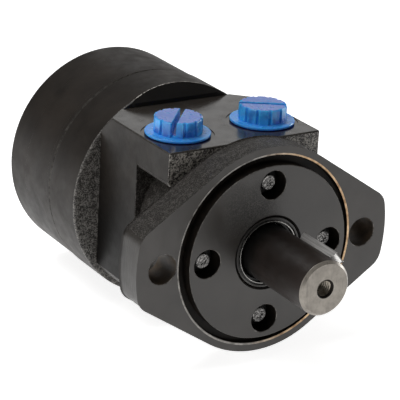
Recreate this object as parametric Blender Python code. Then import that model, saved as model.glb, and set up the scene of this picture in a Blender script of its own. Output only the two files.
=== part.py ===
"""Orbital hydraulic motor with a two-bolt flange, a keyed shaft and two plugged ports.

Lengths are in metres. X points to the right and Z up, seen from the shaft end, and Y runs along
the shaft away from its tip. The origin is the centre of the flange's mounting face.
"""
import math

import bmesh
import bpy
from mathutils import Matrix, Vector

GAP = 0.0003              # space left between neighbouring pieces

# Mounting flange: two-bolt pattern with a centring pilot
PILOT_RADIUS = 0.041275
PILOT_HEIGHT = 0.0028
PILOT_GROOVE_RADIUS = 0.0450
PILOT_GROOVE_DEPTH = 0.0032
FLANGE_THICKNESS = 0.0154
FLANGE_WAIST_RADIUS = 0.0490
FLANGE_END_RADIUS = 0.0664
FLANGE_FLANK_ANGLE = math.radians(56.5)
FLANGE_CORNER = 0.0040
MOUNT_HOLE_OFFSET = 0.0532
MOUNT_HOLE_RADIUS = 0.0069

# Screws that hold the flange to the housing
FLANGE_SCREW_COUNT = 4
FLANGE_SCREW_CIRCLE = 0.0321
SCREW_COUNTERBORE_RADIUS = 0.00675
SCREW_COUNTERBORE_FLOOR = 0.0072
SCREW_HEAD_RADIUS = 0.0063
SCREW_HEAD_THICKNESS = 0.0025
SCREW_DRIVE_RADIUS = 0.0036
SCREW_DRIVE_TOP = 0.0010
SCREW_RADIUS = 0.0039
SCREW_HOLE_RADIUS = 0.0043
SCREW_END = 0.0300

# Seals and thrust bearing in the flange, along Y
SEAL_BORE_RADIUS = 0.0170
SEAL_BORE_END = 0.0065
SEAL_WEB_RADIUS = 0.0140
DUST_SEAL_PROFILE = [(-0.0026, 0.0146), (-0.0026, 0.0167), (0.0004, 0.0167), (0.0004, 0.0135),
                     (-0.0004, 0.0135)]
SHAFT_SEAL_PROFILE = [(0.0008, 0.0150), (0.0008, 0.0167), (0.0050, 0.0167), (0.0050, 0.0150),
                      (0.0034, 0.0131), (0.0026, 0.0131)]
BACKUP_RING_START = 0.0053
BACKUP_RING_INNER = 0.0134
BACKUP_RING_OUTER = 0.0167
BEARING_RECESS_RADIUS = 0.0220
BEARING_RECESS_START = 0.0085
RACE_INNER = 0.0133
RACE_OUTER = 0.0214
RACE_THICKNESS = 0.0014
CAGE_INNER = 0.0137
CAGE_OUTER = 0.0212
CAGE_THICKNESS = 0.0024
FLANGE_SEAL_RADIUS = 0.02545
FLANGE_SEAL_SECTION = 0.00115

# Output shaft with its rotary spool
SHAFT_RADIUS = 0.0127
SHAFT_TIP = -0.0467
SHAFT_CHAMFER = 0.0013
SHOULDER = 0.0155
SPOOL_RADIUS = 0.0186
SPOOL_END = 0.1060
SPOOL_GROOVE_DEPTH = 0.0020
SPOOL_SLOT_COUNT = 12
SPOOL_SLOT_WIDTH = 0.0040
SPOOL_SLOT_END = 0.0651
SHAFT_HOLLOW_START = 0.0460
SHAFT_HOLLOW_RADIUS = 0.0132
TAPPED_HOLE_RADIUS = 0.0035
TAPPED_HOLE_MOUTH = 0.0044
TAPPED_HOLE_DEPTH = 0.0180

# Woodruff key
KEY_ANGLE = math.radians(40)
KEY_WIDTH = 0.00635
KEY_CENTRE = -0.0270
KEY_TOP = 0.0158
KEY_DISC_RADIUS = 0.0127
KEY_HEIGHT = 0.0111

# Housing with the port block
HOUSING_FRONT = FLANGE_THICKNESS + GAP
NECK_RADIUS = 0.0380
NECK_END = 0.0480
BLOCK_FRONT = 0.0206
BLOCK_HALF_WIDTH = 0.0401
BLOCK_UNDERSIDE = 0.0289
PORT_FACE = 0.0447
BELLY_RADIUS = 0.0505
BAND_RADIUS = 0.0532
BAND_FRONT = 0.0815
BAND_REAR = 0.1062
BAND_STEP_RADIUS = 0.0505
HOUSING_REAR = 0.1067
RELIEF_START = (0.0713, 0.0604)
RELIEF_END = (0.0820, 0.0535)
WALL_FOOT = 0.0804
WALL_SLOPE = 0.55
SPOOL_BORE_RADIUS = 0.0190
GALLERY_RADIUS = 0.0220
GALLERY_WIDTH = 0.0060
GALLERY_A = 0.0371
GALLERY_B = 0.0481

# Ports and their plastic plugs
PORT_OFFSET = 0.0227
PORT_CENTRE = 0.0426
PORT_RADIUS = 0.0102
PORT_FLOOR = 0.0315
SPOTFACE_RADIUS = 0.0167
SPOTFACE_DEPTH = 0.0002
PASSAGE_RADIUS = 0.0036
PASSAGE_TOP = (0.0195, 0.0335)        # distance from the middle plane, and height
PASSAGE_BOTTOM = (0.0100, 0.0120)
PLUG_FLANGE_RADIUS = 0.0151
PLUG_FLANGE_THICKNESS = 0.0012
PLUG_KNOB_RADIUS = 0.0115
PLUG_KNOB_TOP = 0.0084
PLUG_FACETS = 12
PLUG_STUB_RADIUS = 0.0096
PLUG_STUB_DEPTH = 0.0105
PLUG_SLOT_WIDTH = 0.0021
PLUG_SLOT_FLOOR = 0.0024
PLUG_SLOT_ANGLES = {"left": math.radians(49), "right": math.radians(-30.5)}

# Gerotor set: the ring has one lobe more than the rotor
RING_LOBES = 7
ROTOR_LOBES = RING_LOBES - 1
ECCENTRICITY = 0.0030
LOBE_CIRCLE = 0.0320
LOBE_RADIUS = 0.0066
ROTOR_CLEARANCE = 0.00035
RING_BORE_RADIUS = 0.0319
DRUM_RADIUS = 0.0528
PLATE_RADIUS = 0.0524
PLATE_THICKNESS = 0.0032
RING_WIDTH = 0.0218
PLATE_FRONT = HOUSING_REAR + GAP
PLATE_REAR = PLATE_FRONT + PLATE_THICKNESS
RING_FRONT = PLATE_REAR + GAP
RING_REAR = RING_FRONT + RING_WIDTH
COVER_FRONT = RING_REAR + GAP
COVER_REAR = 0.1497
COVER_EDGE = 0.0024
PLATE_BORE_RADIUS = 0.0150
TIMING_CIRCLE = 0.0290
TIMING_RADIUS = 0.0022
TIMING_START = 0.0840

# Through bolts of the gerotor section
BOLT_CIRCLE = 0.0430
BOLT_RADIUS = 0.0040
BOLT_HOLE_RADIUS = 0.0044
BOLT_HEAD_RADIUS = 0.0065
BOLT_COUNTERBORE_RADIUS = 0.0070
BOLT_COUNTERBORE_FLOOR = 0.1402
BOLT_HEAD_HEIGHT = 0.0080
BOLT_SOCKET_RADIUS = 0.0034
BOLT_SOCKET_DEPTH = 0.0040
BOLT_END = 0.0940
BOLT_HOLE_END = 0.0915

# Face seals in the gerotor section
PLATE_SEAL_RADIUS = 0.0360
PLATE_SEAL_SECTION = 0.00095
SEAL_GROOVE_HALF_WIDTH = 0.0014
SEAL_GROOVE_DEPTH = 0.0023

# Cardan drive and the spacer behind it
SPLINE_TEETH = 10
DRIVE_FRONT = 0.0540
DRIVE_PIVOT = 0.0610
DRIVE_TIP_RADIUS = 0.0102
DRIVE_ROOT_RADIUS = 0.0086
DRIVE_SHANK_RADIUS = 0.0070
SPLINE_CLEARANCE = 0.0009
SPLINE_END = 0.0700
DRIVE_END = RING_REAR - 0.0032
DRIVE_ENGAGED = 0.0130
DRIVE_SPACER_RADIUS = 0.0078
ROTOR_MIDDLE = (RING_FRONT + RING_REAR) / 2
DRIVE_TILT = math.atan2(ECCENTRICITY, ROTOR_MIDDLE - DRIVE_PIVOT)

FINE = 40                 # facets round the large visible pieces
MEDIUM = 24               # facets round the inner pieces
SMALL = 10                # facets round bolts and holes
UP = math.pi / 2

PAINT = ("black_paint", (0.045, 0.041, 0.038), 0.42, 0.0)
OXIDE = ("black_oxide_steel", (0.075, 0.066, 0.060), 0.38, 0.9)
STEEL = ("ground_steel", (0.52, 0.51, 0.49), 0.30, 1.0)
ZINC = ("bright_screw_steel", (0.62, 0.61, 0.58), 0.35, 1.0)
RUBBER = ("black_rubber", (0.018, 0.018, 0.018), 0.60, 0.0)
BLUE = ("blue_plastic", (0.050, 0.190, 0.780), 0.25, 0.0)


def clear_scene():
    """Remove the objects that a new file starts with."""
    for item in list(bpy.data.objects):
        bpy.data.objects.remove(item, do_unlink=True)


def material(spec):
    """Return the Principled material for a (name, colour, roughness, metallic) tuple."""
    name, colour, roughness, metallic = spec
    found = bpy.data.materials.get(name)
    if found:
        return found
    made = bpy.data.materials.new(name)
    made.use_nodes = True
    shader = made.node_tree.nodes["Principled BSDF"]
    shader.inputs["Base Color"].default_value = (*colour, 1.0)
    shader.inputs["Roughness"].default_value = roughness
    shader.inputs["Metallic"].default_value = metallic
    return made


def add_object(name, bm, spec, location=(0, 0, 0), rotation=(0, 0, 0), parent=None):
    """Turn a bmesh into a shaded, linked object with outward faces."""
    bmesh.ops.remove_doubles(bm, verts=bm.verts, dist=1e-7)
    bmesh.ops.recalc_face_normals(bm, faces=bm.faces)
    mesh = bpy.data.meshes.new(name)
    bm.to_mesh(mesh)
    bm.free()
    mesh.shade_smooth()
    mesh.set_sharp_from_angle(angle=math.radians(35))
    mesh.materials.append(material(spec))
    made = bpy.data.objects.new(name, mesh)
    made.location = location
    made.rotation_euler = rotation
    made.parent = parent
    bpy.context.scene.collection.objects.link(made)
    return made


def combine(target, tool, operation):
    """Add an exact Boolean modifier and hide its tool."""
    modifier = target.modifiers.new(tool.name, "BOOLEAN")
    modifier.object = tool
    modifier.operation = operation
    modifier.solver = "EXACT"
    tool.hide_render = True
    tool.display_type = "WIRE"


def cut(target, name, bm):
    """Subtract the solids in a bmesh from the target."""
    combine(target, add_object(name, bm, STEEL), "DIFFERENCE")


def join(target, name, bm):
    """Unite the solid in a bmesh with the target."""
    combine(target, add_object(name, bm, STEEL), "UNION")


def revolve(profile, segments, closed=True):
    """Spin a (y, r) profile round the Y axis. An open profile starts and ends on the axis."""
    bm = bmesh.new()
    points = [bm.verts.new((r, y, 0)) for y, r in profile]
    edges = [bm.edges.new(pair) for pair in zip(points, points[1:])]
    if closed:
        edges.append(bm.edges.new((points[-1], points[0])))
    bmesh.ops.spin(bm, geom=points + edges, cent=(0, 0, 0), axis=(0, 1, 0),
                   angle=2 * math.pi, steps=segments, use_merge=True)
    return bm


def tube(y0, y1, inner, outer, segments):
    """A plain ring between two Y planes."""
    return revolve([(y0, inner), (y0, outer), (y1, outer), (y1, inner)], segments)


def torus(y, radius, section, segments, sides=5):
    """A ring of round section, centred on the Y axis."""
    turns = [2 * math.pi * k / sides for k in range(sides)]
    return revolve([(y + section * math.sin(t), radius + section * math.cos(t)) for t in turns],
                   segments)


def add_rod(bm, start, end, radius, segments, end_radius=None):
    """Add a closed cylinder or cone between two points to a bmesh."""
    start, end = Vector(start), Vector(end)
    along = end - start
    place = Matrix.Translation((start + end) / 2) @ along.to_track_quat("Z", "Y").to_matrix().to_4x4()
    bmesh.ops.create_cone(bm, cap_ends=True, segments=segments, radius1=radius,
                          radius2=radius if end_radius is None else end_radius,
                          depth=along.length, matrix=place)


def add_prism(bm, outline, y0, y1):
    """Add an (x, z) outline extruded between two Y planes to a bmesh."""
    base = bm.faces.new([bm.verts.new((x, y0, z)) for x, z in outline])
    extruded = bmesh.ops.extrude_face_region(bm, geom=[base])
    moved = [item for item in extruded["geom"] if isinstance(item, bmesh.types.BMVert)]
    bmesh.ops.translate(bm, verts=moved, vec=(0, y1 - y0, 0))


def prism(outline, y0, y1):
    """A new bmesh that holds one prism."""
    bm = bmesh.new()
    add_prism(bm, outline, y0, y1)
    return bm


def around(count, radius, offset=UP):
    """Evenly spaced (x, z) points on a circle, with their angles."""
    angles = [offset + 2 * math.pi * k / count for k in range(count)]
    return [(radius * math.cos(a), radius * math.sin(a), a) for a in angles]


def arc(radius, start, end, steps):
    """Points on a circle about the axis, from one angle to another."""
    angles = [start + (end - start) * k / steps for k in range(steps + 1)]
    return [(radius * math.cos(a), radius * math.sin(a)) for a in angles]


def flange_outline():
    """Two ear ends about the axis, joined by flanks tangent to a round waist."""
    end_angle = FLANGE_FLANK_ANGLE - math.acos(FLANGE_WAIST_RADIUS / FLANGE_END_RADIUS)
    trim = FLANGE_CORNER / FLANGE_END_RADIUS
    corner = Vector(arc(FLANGE_END_RADIUS, end_angle, end_angle, 1)[0])
    waist = Vector(arc(FLANGE_WAIST_RADIUS, FLANGE_FLANK_ANGLE, FLANGE_FLANK_ANGLE, 1)[0])
    flank_start = corner + (waist - corner).normalized() * FLANGE_CORNER
    ear = arc(FLANGE_END_RADIUS, 0, end_angle - trim, 6)
    ear_end = Vector(ear[-1])
    rounding = []
    for k in (1, 2, 3):
        t = k / 4
        point = ear_end * (1 - t) ** 2 + corner * 2 * t * (1 - t) + flank_start * t ** 2
        rounding.append((point.x, point.y))
    top = arc(FLANGE_WAIST_RADIUS, FLANGE_FLANK_ANGLE, UP, 8)
    quarter = ear + rounding + [(flank_start.x, flank_start.y)] + top
    half = quarter + [(-x, z) for x, z in reversed(quarter[:-1])]
    return half + [(x, -z) for x, z in reversed(half[1:-1])]


def build_mounting_flange():
    """Flange with its pilot, seal bore, bearing recess and screw holes."""
    flange = add_object("mounting_flange", prism(flange_outline(), 0, FLANGE_THICKNESS), PAINT)
    recess = bmesh.new()
    add_rod(recess, (0, -0.001, 0), (0, PILOT_GROOVE_DEPTH, 0), PILOT_GROOVE_RADIUS, FINE)
    cut(flange, "pilot_groove_tool", recess)
    pilot = bmesh.new()
    add_rod(pilot, (0, -PILOT_HEIGHT, 0), (0, FLANGE_THICKNESS / 2, 0), PILOT_RADIUS, FINE)
    join(flange, "pilot_tool", pilot)
    past_front = -PILOT_HEIGHT - 0.002
    past_rear = FLANGE_THICKNESS + 0.002
    cut(flange, "flange_bore_tool",
        revolve([(past_front, 0), (past_front, SEAL_BORE_RADIUS), (SEAL_BORE_END, SEAL_BORE_RADIUS),
                 (SEAL_BORE_END, SEAL_WEB_RADIUS), (BEARING_RECESS_START, SEAL_WEB_RADIUS),
                 (BEARING_RECESS_START, BEARING_RECESS_RADIUS), (past_rear, BEARING_RECESS_RADIUS),
                 (past_rear, 0)], MEDIUM, False))
    groove = FLANGE_SEAL_SECTION + GAP
    cut(flange, "flange_seal_groove_tool",
        tube(FLANGE_THICKNESS - 2 * FLANGE_SEAL_SECTION, past_rear,
             FLANGE_SEAL_RADIUS - groove, FLANGE_SEAL_RADIUS + groove, MEDIUM))
    holes = bmesh.new()
    for x, z, _ in around(FLANGE_SCREW_COUNT, FLANGE_SCREW_CIRCLE):
        add_rod(holes, (x, past_front, z), (x, SCREW_COUNTERBORE_FLOOR, z),
                SCREW_COUNTERBORE_RADIUS, 16)
    for side in (-1, 1):
        add_rod(holes, (side * MOUNT_HOLE_OFFSET, past_front, 0),
                (side * MOUNT_HOLE_OFFSET, past_rear, 0), MOUNT_HOLE_RADIUS, 24)
    cut(flange, "flange_hole_tool", holes)
    drills = bmesh.new()
    for x, z, _ in around(FLANGE_SCREW_COUNT, FLANGE_SCREW_CIRCLE):
        add_rod(drills, (x, 0, z), (x, past_rear, z), SCREW_HOLE_RADIUS, SMALL)
    cut(flange, "flange_drill_tool", drills)


def build_flange_screws():
    """Flanged screws with a small star drive that stands in each counterbore."""
    seat = SCREW_COUNTERBORE_FLOOR - GAP
    head = seat - SCREW_HEAD_THICKNESS
    profile = [(SCREW_DRIVE_TOP, 0), (SCREW_DRIVE_TOP, SCREW_DRIVE_RADIUS), (head, SCREW_DRIVE_RADIUS),
               (head, SCREW_HEAD_RADIUS), (seat, SCREW_HEAD_RADIUS), (seat, SCREW_RADIUS),
               (SCREW_END, SCREW_RADIUS), (SCREW_END, 0)]
    for number, (x, z, _) in enumerate(around(FLANGE_SCREW_COUNT, FLANGE_SCREW_CIRCLE), 1):
        add_object(f"flange_screw_{number}", revolve(profile, SMALL, False), ZINC, (x, 0, z))


def build_flange_seals():
    """Dust seal, shaft seal, its backup ring and the flange's face seal."""
    add_object("dust_seal", revolve(DUST_SEAL_PROFILE, MEDIUM), RUBBER)
    add_object("shaft_seal", revolve(SHAFT_SEAL_PROFILE, MEDIUM), RUBBER)
    add_object("seal_backup_ring", tube(BACKUP_RING_START, SEAL_BORE_END - GAP, BACKUP_RING_INNER,
                                        BACKUP_RING_OUTER, MEDIUM), STEEL)
    add_object("flange_seal", torus(FLANGE_THICKNESS - FLANGE_SEAL_SECTION, FLANGE_SEAL_RADIUS,
                                    FLANGE_SEAL_SECTION, MEDIUM), RUBBER)


def build_thrust_bearing():
    """Needle thrust bearing between two races, ahead of the shaft shoulder."""
    y = BEARING_RECESS_START + GAP
    for name, inner, outer, thickness in (
            ("thrust_race_front", RACE_INNER, RACE_OUTER, RACE_THICKNESS),
            ("needle_cage", CAGE_INNER, CAGE_OUTER, CAGE_THICKNESS),
            ("thrust_race_rear", RACE_INNER, RACE_OUTER, RACE_THICKNESS)):
        add_object(name, tube(y, y + thickness, inner, outer, MEDIUM), STEEL)
        y += thickness + GAP


def star_outline(teeth, root, tip):
    """An (x, z) spline outline with flat-topped teeth."""
    points = []
    step = 2 * math.pi / teeth
    for k in range(teeth):
        middle = k * step
        for angle, radius in ((-0.30, root), (-0.16, tip), (0.16, tip), (0.30, root)):
            turn = middle + angle * step
            points.append((radius * math.cos(turn), radius * math.sin(turn)))
    return points


def key_profile(margin):
    """Side view (y, radius) of a woodruff key, grown by a margin."""
    radius = KEY_DISC_RADIUS + margin
    centre = KEY_TOP - KEY_HEIGHT + KEY_DISC_RADIUS
    half = math.asin((KEY_TOP + margin - centre) / radius)
    start, end = math.pi - half, 2 * math.pi + half
    turns = [start + (end - start) * k / 12 for k in range(13)]
    return [(KEY_CENTRE + radius * math.cos(t), centre + radius * math.sin(t)) for t in turns]


def key_solid(margin):
    """The key as a solid with its side view standing along +X, ready to be turned round Y."""
    bm = bmesh.new()
    half = KEY_WIDTH / 2 + margin
    base = bm.faces.new([bm.verts.new((r, y, -half)) for y, r in key_profile(margin)])
    extruded = bmesh.ops.extrude_face_region(bm, geom=[base])
    moved = [item for item in extruded["geom"] if isinstance(item, bmesh.types.BMVert)]
    bmesh.ops.translate(bm, verts=moved, vec=(0, 0, 2 * half))
    bmesh.ops.rotate(bm, verts=bm.verts, cent=(0, 0, 0), matrix=Matrix.Rotation(-KEY_ANGLE, 3, "Y"))
    return bm


def build_output_shaft():
    """Keyed shaft with the rotary spool behind its shoulder, and the key in its seat."""
    g1, g2, depth = GALLERY_A, GALLERY_B, SPOOL_RADIUS - SPOOL_GROOVE_DEPTH
    half = GALLERY_WIDTH / 2
    profile = [(SHAFT_TIP, 0), (SHAFT_TIP, SHAFT_RADIUS - SHAFT_CHAMFER),
               (SHAFT_TIP + SHAFT_CHAMFER, SHAFT_RADIUS), (SHOULDER, SHAFT_RADIUS),
               (SHOULDER, SPOOL_RADIUS), (g1 - half, SPOOL_RADIUS), (g1 - half, depth),
               (g1 + half, depth), (g1 + half, SPOOL_RADIUS), (g2 - half, SPOOL_RADIUS),
               (g2 - half, depth), (g2 + half, depth), (g2 + half, SPOOL_RADIUS),
               (SPOOL_END, SPOOL_RADIUS), (SPOOL_END, 0)]
    shaft = add_object("output_shaft", revolve(profile, MEDIUM, False), OXIDE)
    hollow = bmesh.new()
    add_rod(hollow, (0, SPLINE_END, 0), (0, SPOOL_END + 0.002, 0), SHAFT_HOLLOW_RADIUS, 24)
    cut(shaft, "shaft_hollow_tool", hollow)
    tip = DRIVE_TIP_RADIUS + SPLINE_CLEARANCE
    root = DRIVE_ROOT_RADIUS + SPLINE_CLEARANCE
    cut(shaft, "shaft_spline_tool",
        prism(star_outline(SPLINE_TEETH, root, tip), SHAFT_HOLLOW_START, SPLINE_END + 0.001))
    centre_hole = bmesh.new()
    add_rod(centre_hole, (0, SHAFT_TIP - 0.001, 0), (0, SHAFT_TIP + TAPPED_HOLE_DEPTH, 0),
            TAPPED_HOLE_RADIUS, SMALL)
    cut(shaft, "shaft_hole_tool", centre_hole)
    mouth = TAPPED_HOLE_MOUTH - TAPPED_HOLE_RADIUS
    countersink = bmesh.new()
    add_rod(countersink, (0, SHAFT_TIP - mouth, 0), (0, SHAFT_TIP + mouth, 0),
            TAPPED_HOLE_MOUTH + mouth, SMALL, TAPPED_HOLE_RADIUS)
    cut(shaft, "shaft_countersink_tool", countersink)
    cut(shaft, "key_seat_tool", key_solid(GAP))
    add_object("shaft_key", key_solid(0), STEEL, parent=shaft)
    slots = bmesh.new()
    for index, (x, z, angle) in enumerate(around(SPOOL_SLOT_COUNT, SPOOL_RADIUS)):
        groove_end = (g2 if index % 2 else g1) + half
        add_slot(slots, x, z, angle, groove_end - 0.001, SPOOL_SLOT_END)
    cut(shaft, "spool_slot_tool", slots)


def add_slot(bm, x, z, angle, y0, y1):
    """Add a cutter for one shallow axial slot in the spool."""
    place = Matrix.Translation((x, (y0 + y1) / 2, z)) @ Matrix.Rotation(-angle, 4, "Y")
    size = Matrix.Diagonal((2 * SPOOL_GROOVE_DEPTH, y1 - y0, SPOOL_SLOT_WIDTH, 1))
    bmesh.ops.create_cube(bm, size=1, matrix=place @ size)


def belly_outline(radius, top):
    """The block's flat sides and top over a round belly."""
    side = math.asin(math.sqrt(radius ** 2 - BLOCK_HALF_WIDTH ** 2) / radius)
    lower = arc(radius, math.pi + side, 2 * math.pi - side, 14)
    return [(BLOCK_HALF_WIDTH, top), (-BLOCK_HALF_WIDTH, top)] + lower


def build_housing():
    """Cast housing: neck, port block, belly and rear band, with its bores and galleries."""
    groove_floor = HOUSING_REAR - SEAL_GROOVE_DEPTH
    groove_outer = PLATE_SEAL_RADIUS + SEAL_GROOVE_HALF_WIDTH
    groove_inner = PLATE_SEAL_RADIUS - SEAL_GROOVE_HALF_WIDTH
    profile = [(HOUSING_FRONT, 0), (HOUSING_FRONT, NECK_RADIUS), (BAND_FRONT, NECK_RADIUS),
               (BAND_FRONT, BAND_RADIUS), (BAND_REAR, BAND_RADIUS), (BAND_REAR, BAND_STEP_RADIUS),
               (HOUSING_REAR, BAND_STEP_RADIUS), (HOUSING_REAR, groove_outer),
               (groove_floor, groove_outer), (groove_floor, groove_inner),
               (HOUSING_REAR, groove_inner), (HOUSING_REAR, 0)]
    housing = add_object("housing", revolve(profile, FINE, False), PAINT)
    join(housing, "belly_tool",
         prism(belly_outline(BELLY_RADIUS, PORT_FACE), NECK_END, BAND_FRONT + GAP))
    block = [(BLOCK_HALF_WIDTH, PORT_FACE), (-BLOCK_HALF_WIDTH, PORT_FACE),
             (-BLOCK_HALF_WIDTH, BLOCK_UNDERSIDE), (BLOCK_HALF_WIDTH, BLOCK_UNDERSIDE)]
    join(housing, "block_tool", prism(block, BLOCK_FRONT, NECK_END + 0.003))
    rise = BAND_RADIUS + 0.002 - PORT_FACE
    wall = bmesh.new()
    corners = [(WALL_FOOT - 0.006, PORT_FACE), (WALL_FOOT, PORT_FACE),
               (WALL_FOOT + WALL_SLOPE * rise, PORT_FACE + rise), (WALL_FOOT - 0.006, PORT_FACE + rise)]
    side = wall.faces.new([wall.verts.new((-BAND_RADIUS, y, z)) for y, z in corners])
    extruded = bmesh.ops.extrude_face_region(wall, geom=[side])
    moved = [item for item in extruded["geom"] if isinstance(item, bmesh.types.BMVert)]
    bmesh.ops.translate(wall, verts=moved, vec=(2 * BAND_RADIUS, 0, 0))
    cut(housing, "wall_tool", wall)
    outside = BAND_RADIUS + 0.012
    cut(housing, "relief_tool", revolve([RELIEF_START, RELIEF_END, (RELIEF_END[0], outside),
                                         (RELIEF_START[0], outside)], FINE))
    half = GALLERY_WIDTH / 2
    front, rear, bore = HOUSING_FRONT - 0.002, HOUSING_REAR + 0.002, SPOOL_BORE_RADIUS
    cut(housing, "spool_bore_tool",
        revolve([(front, 0), (front, bore), (GALLERY_A - half, bore),
                 (GALLERY_A - half, GALLERY_RADIUS), (GALLERY_A + half, GALLERY_RADIUS),
                 (GALLERY_A + half, bore), (GALLERY_B - half, bore),
                 (GALLERY_B - half, GALLERY_RADIUS), (GALLERY_B + half, GALLERY_RADIUS),
                 (GALLERY_B + half, bore), (rear, bore), (rear, 0)], MEDIUM, False))
    cut_ports(housing)
    holes = bmesh.new()
    for x, z, _ in around(FLANGE_SCREW_COUNT, FLANGE_SCREW_CIRCLE):
        add_rod(holes, (x, front, z), (x, SCREW_END + 0.002, z), SCREW_HOLE_RADIUS, SMALL)
    for x, z, _ in around(RING_LOBES, BOLT_CIRCLE):
        add_rod(holes, (x, BOLT_HOLE_END, z), (x, rear, z), BOLT_HOLE_RADIUS, SMALL)
    cut(housing, "housing_screw_hole_tool", holes)
    timing = bmesh.new()
    inner = SPOOL_BORE_RADIUS - 0.002
    for x, z, _ in around(RING_LOBES, 1, UP + math.pi / RING_LOBES):
        add_rod(timing, (inner * x, TIMING_START, inner * z),
                (TIMING_CIRCLE * x, HOUSING_REAR + 0.001, TIMING_CIRCLE * z), TIMING_RADIUS, 6)
    cut(housing, "timing_hole_tool", timing)


def cut_ports(housing):
    """Two port bores with shallow spotfaces and slanting passages to the galleries."""
    bores = bmesh.new()
    faces = bmesh.new()
    passages = bmesh.new()
    for side, gallery in ((-1, GALLERY_A), (1, GALLERY_B)):
        x = side * PORT_OFFSET
        add_rod(bores, (x, PORT_CENTRE, PORT_FLOOR), (x, PORT_CENTRE, PORT_FACE + 0.002),
                PORT_RADIUS, 24)
        add_rod(faces, (x, PORT_CENTRE, PORT_FACE - SPOTFACE_DEPTH),
                (x, PORT_CENTRE, PORT_FACE + 0.001), SPOTFACE_RADIUS, 32)
        add_rod(passages, (side * PASSAGE_TOP[0], gallery, PASSAGE_TOP[1]),
                (side * PASSAGE_BOTTOM[0], gallery, PASSAGE_BOTTOM[1]), PASSAGE_RADIUS, 8)
    cut(housing, "spotface_tool", faces)
    cut(housing, "port_bore_tool", bores)
    cut(housing, "passage_tool", passages)


def seal_groove(face, direction):
    """Cutter for a face seal groove that opens on a Y plane and goes in along a direction."""
    floor = face + direction * SEAL_GROOVE_DEPTH
    past = face - direction * 0.001
    return tube(min(floor, past), max(floor, past), PLATE_SEAL_RADIUS - SEAL_GROOVE_HALF_WIDTH,
                PLATE_SEAL_RADIUS + SEAL_GROOVE_HALF_WIDTH, MEDIUM)


def build_port_plugs():
    """Plastic plugs with a thin flange, a faceted knob and a straight slot."""
    for side, label in ((-1, "left"), (1, "right")):
        bm = bmesh.new()
        add_rod(bm, (0, 0, -PLUG_STUB_DEPTH), (0, 0, GAP + 0.0005), PLUG_STUB_RADIUS, 20)
        plug = add_object(f"port_plug_{label}", bm, BLUE,
                          (side * PORT_OFFSET, PORT_CENTRE, PORT_FACE))
        rim = bmesh.new()
        add_rod(rim, (0, 0, GAP), (0, 0, GAP + PLUG_FLANGE_THICKNESS), PLUG_FLANGE_RADIUS, 28)
        knob = bmesh.new()
        add_rod(knob, (0, 0, GAP + PLUG_FLANGE_THICKNESS / 2), (0, 0, PLUG_KNOB_TOP),
                PLUG_KNOB_RADIUS, PLUG_FACETS)
        slot = bmesh.new()
        size = Matrix.Diagonal((4 * PLUG_KNOB_RADIUS, PLUG_SLOT_WIDTH, 0.02, 1))
        place = Matrix.Translation((0, 0, PLUG_SLOT_FLOOR + 0.01))
        turn = Matrix.Rotation(PLUG_SLOT_ANGLES[label], 4, "Z")
        bmesh.ops.create_cube(slot, size=1, matrix=turn @ place @ size)
        for name, tool, operation in (("rim", rim, "UNION"), ("knob", knob, "UNION"),
                                      ("slot", slot, "DIFFERENCE")):
            combine(plug, add_object(f"plug_{label}_{name}_tool", tool, BLUE,
                                     (side * PORT_OFFSET, PORT_CENTRE, PORT_FACE)), operation)


def ring_outline():
    """Inner outline of the stator ring: round lobes that stand in from a plain bore."""
    reach = math.asin(LOBE_RADIUS / LOBE_CIRCLE)
    pitch = 2 * math.pi / RING_LOBES
    points = []
    for k in range(RING_LOBES):
        middle = UP + k * pitch
        for step in range(9):
            turn = reach * math.sin(math.pi * (step / 8 - 0.5))
            across = LOBE_CIRCLE * math.sin(turn)
            depth = math.sqrt(max(LOBE_RADIUS ** 2 - across ** 2, 0))
            radius = min(LOBE_CIRCLE * math.cos(turn) - depth, RING_BORE_RADIUS)
            points.append((radius * math.cos(middle + turn), radius * math.sin(middle + turn)))
        points += arc(RING_BORE_RADIUS, middle + reach + 0.02, middle + pitch - reach - 0.02, 4)
    return points


def rotor_outline():
    """Rotor lobes: the path of a ring lobe's centre, set in by the lobe radius and a clearance."""
    offset = LOBE_RADIUS + ROTOR_CLEARANCE
    count = 16 * ROTOR_LOBES
    points = []
    for k in range(count):
        t = 2 * math.pi * k / count
        x = LOBE_CIRCLE * math.cos(t) - ECCENTRICITY * math.cos(RING_LOBES * t)
        z = LOBE_CIRCLE * math.sin(t) - ECCENTRICITY * math.sin(RING_LOBES * t)
        dx = -LOBE_CIRCLE * math.sin(t) + RING_LOBES * ECCENTRICITY * math.sin(RING_LOBES * t)
        dz = LOBE_CIRCLE * math.cos(t) - RING_LOBES * ECCENTRICITY * math.cos(RING_LOBES * t)
        length = math.hypot(dx, dz)
        inward_x, inward_z = x - offset * dz / length, z + offset * dx / length
        points.append((-inward_z, inward_x))
    return points


def bolt_holes(y0, y1):
    """Cutter for the seven through-bolt holes."""
    bm = bmesh.new()
    for x, z, _ in around(RING_LOBES, BOLT_CIRCLE):
        add_rod(bm, (x, y0, z), (x, y1, z), BOLT_HOLE_RADIUS, SMALL)
    return bm


def build_spacer_plate():
    """Plate between the housing and the gerotor, with bolt and timing holes."""
    plate = add_object("spacer_plate",
                       tube(PLATE_FRONT, PLATE_REAR, PLATE_BORE_RADIUS, PLATE_RADIUS, FINE), PAINT)
    holes = bolt_holes(PLATE_FRONT - 0.001, PLATE_REAR + 0.001)
    for x, z, _ in around(RING_LOBES, TIMING_CIRCLE, UP + math.pi / RING_LOBES):
        add_rod(holes, (x, PLATE_FRONT - 0.001, z), (x, PLATE_REAR + 0.001, z), TIMING_RADIUS, 6)
    cut(plate, "plate_hole_tool", holes)


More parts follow.
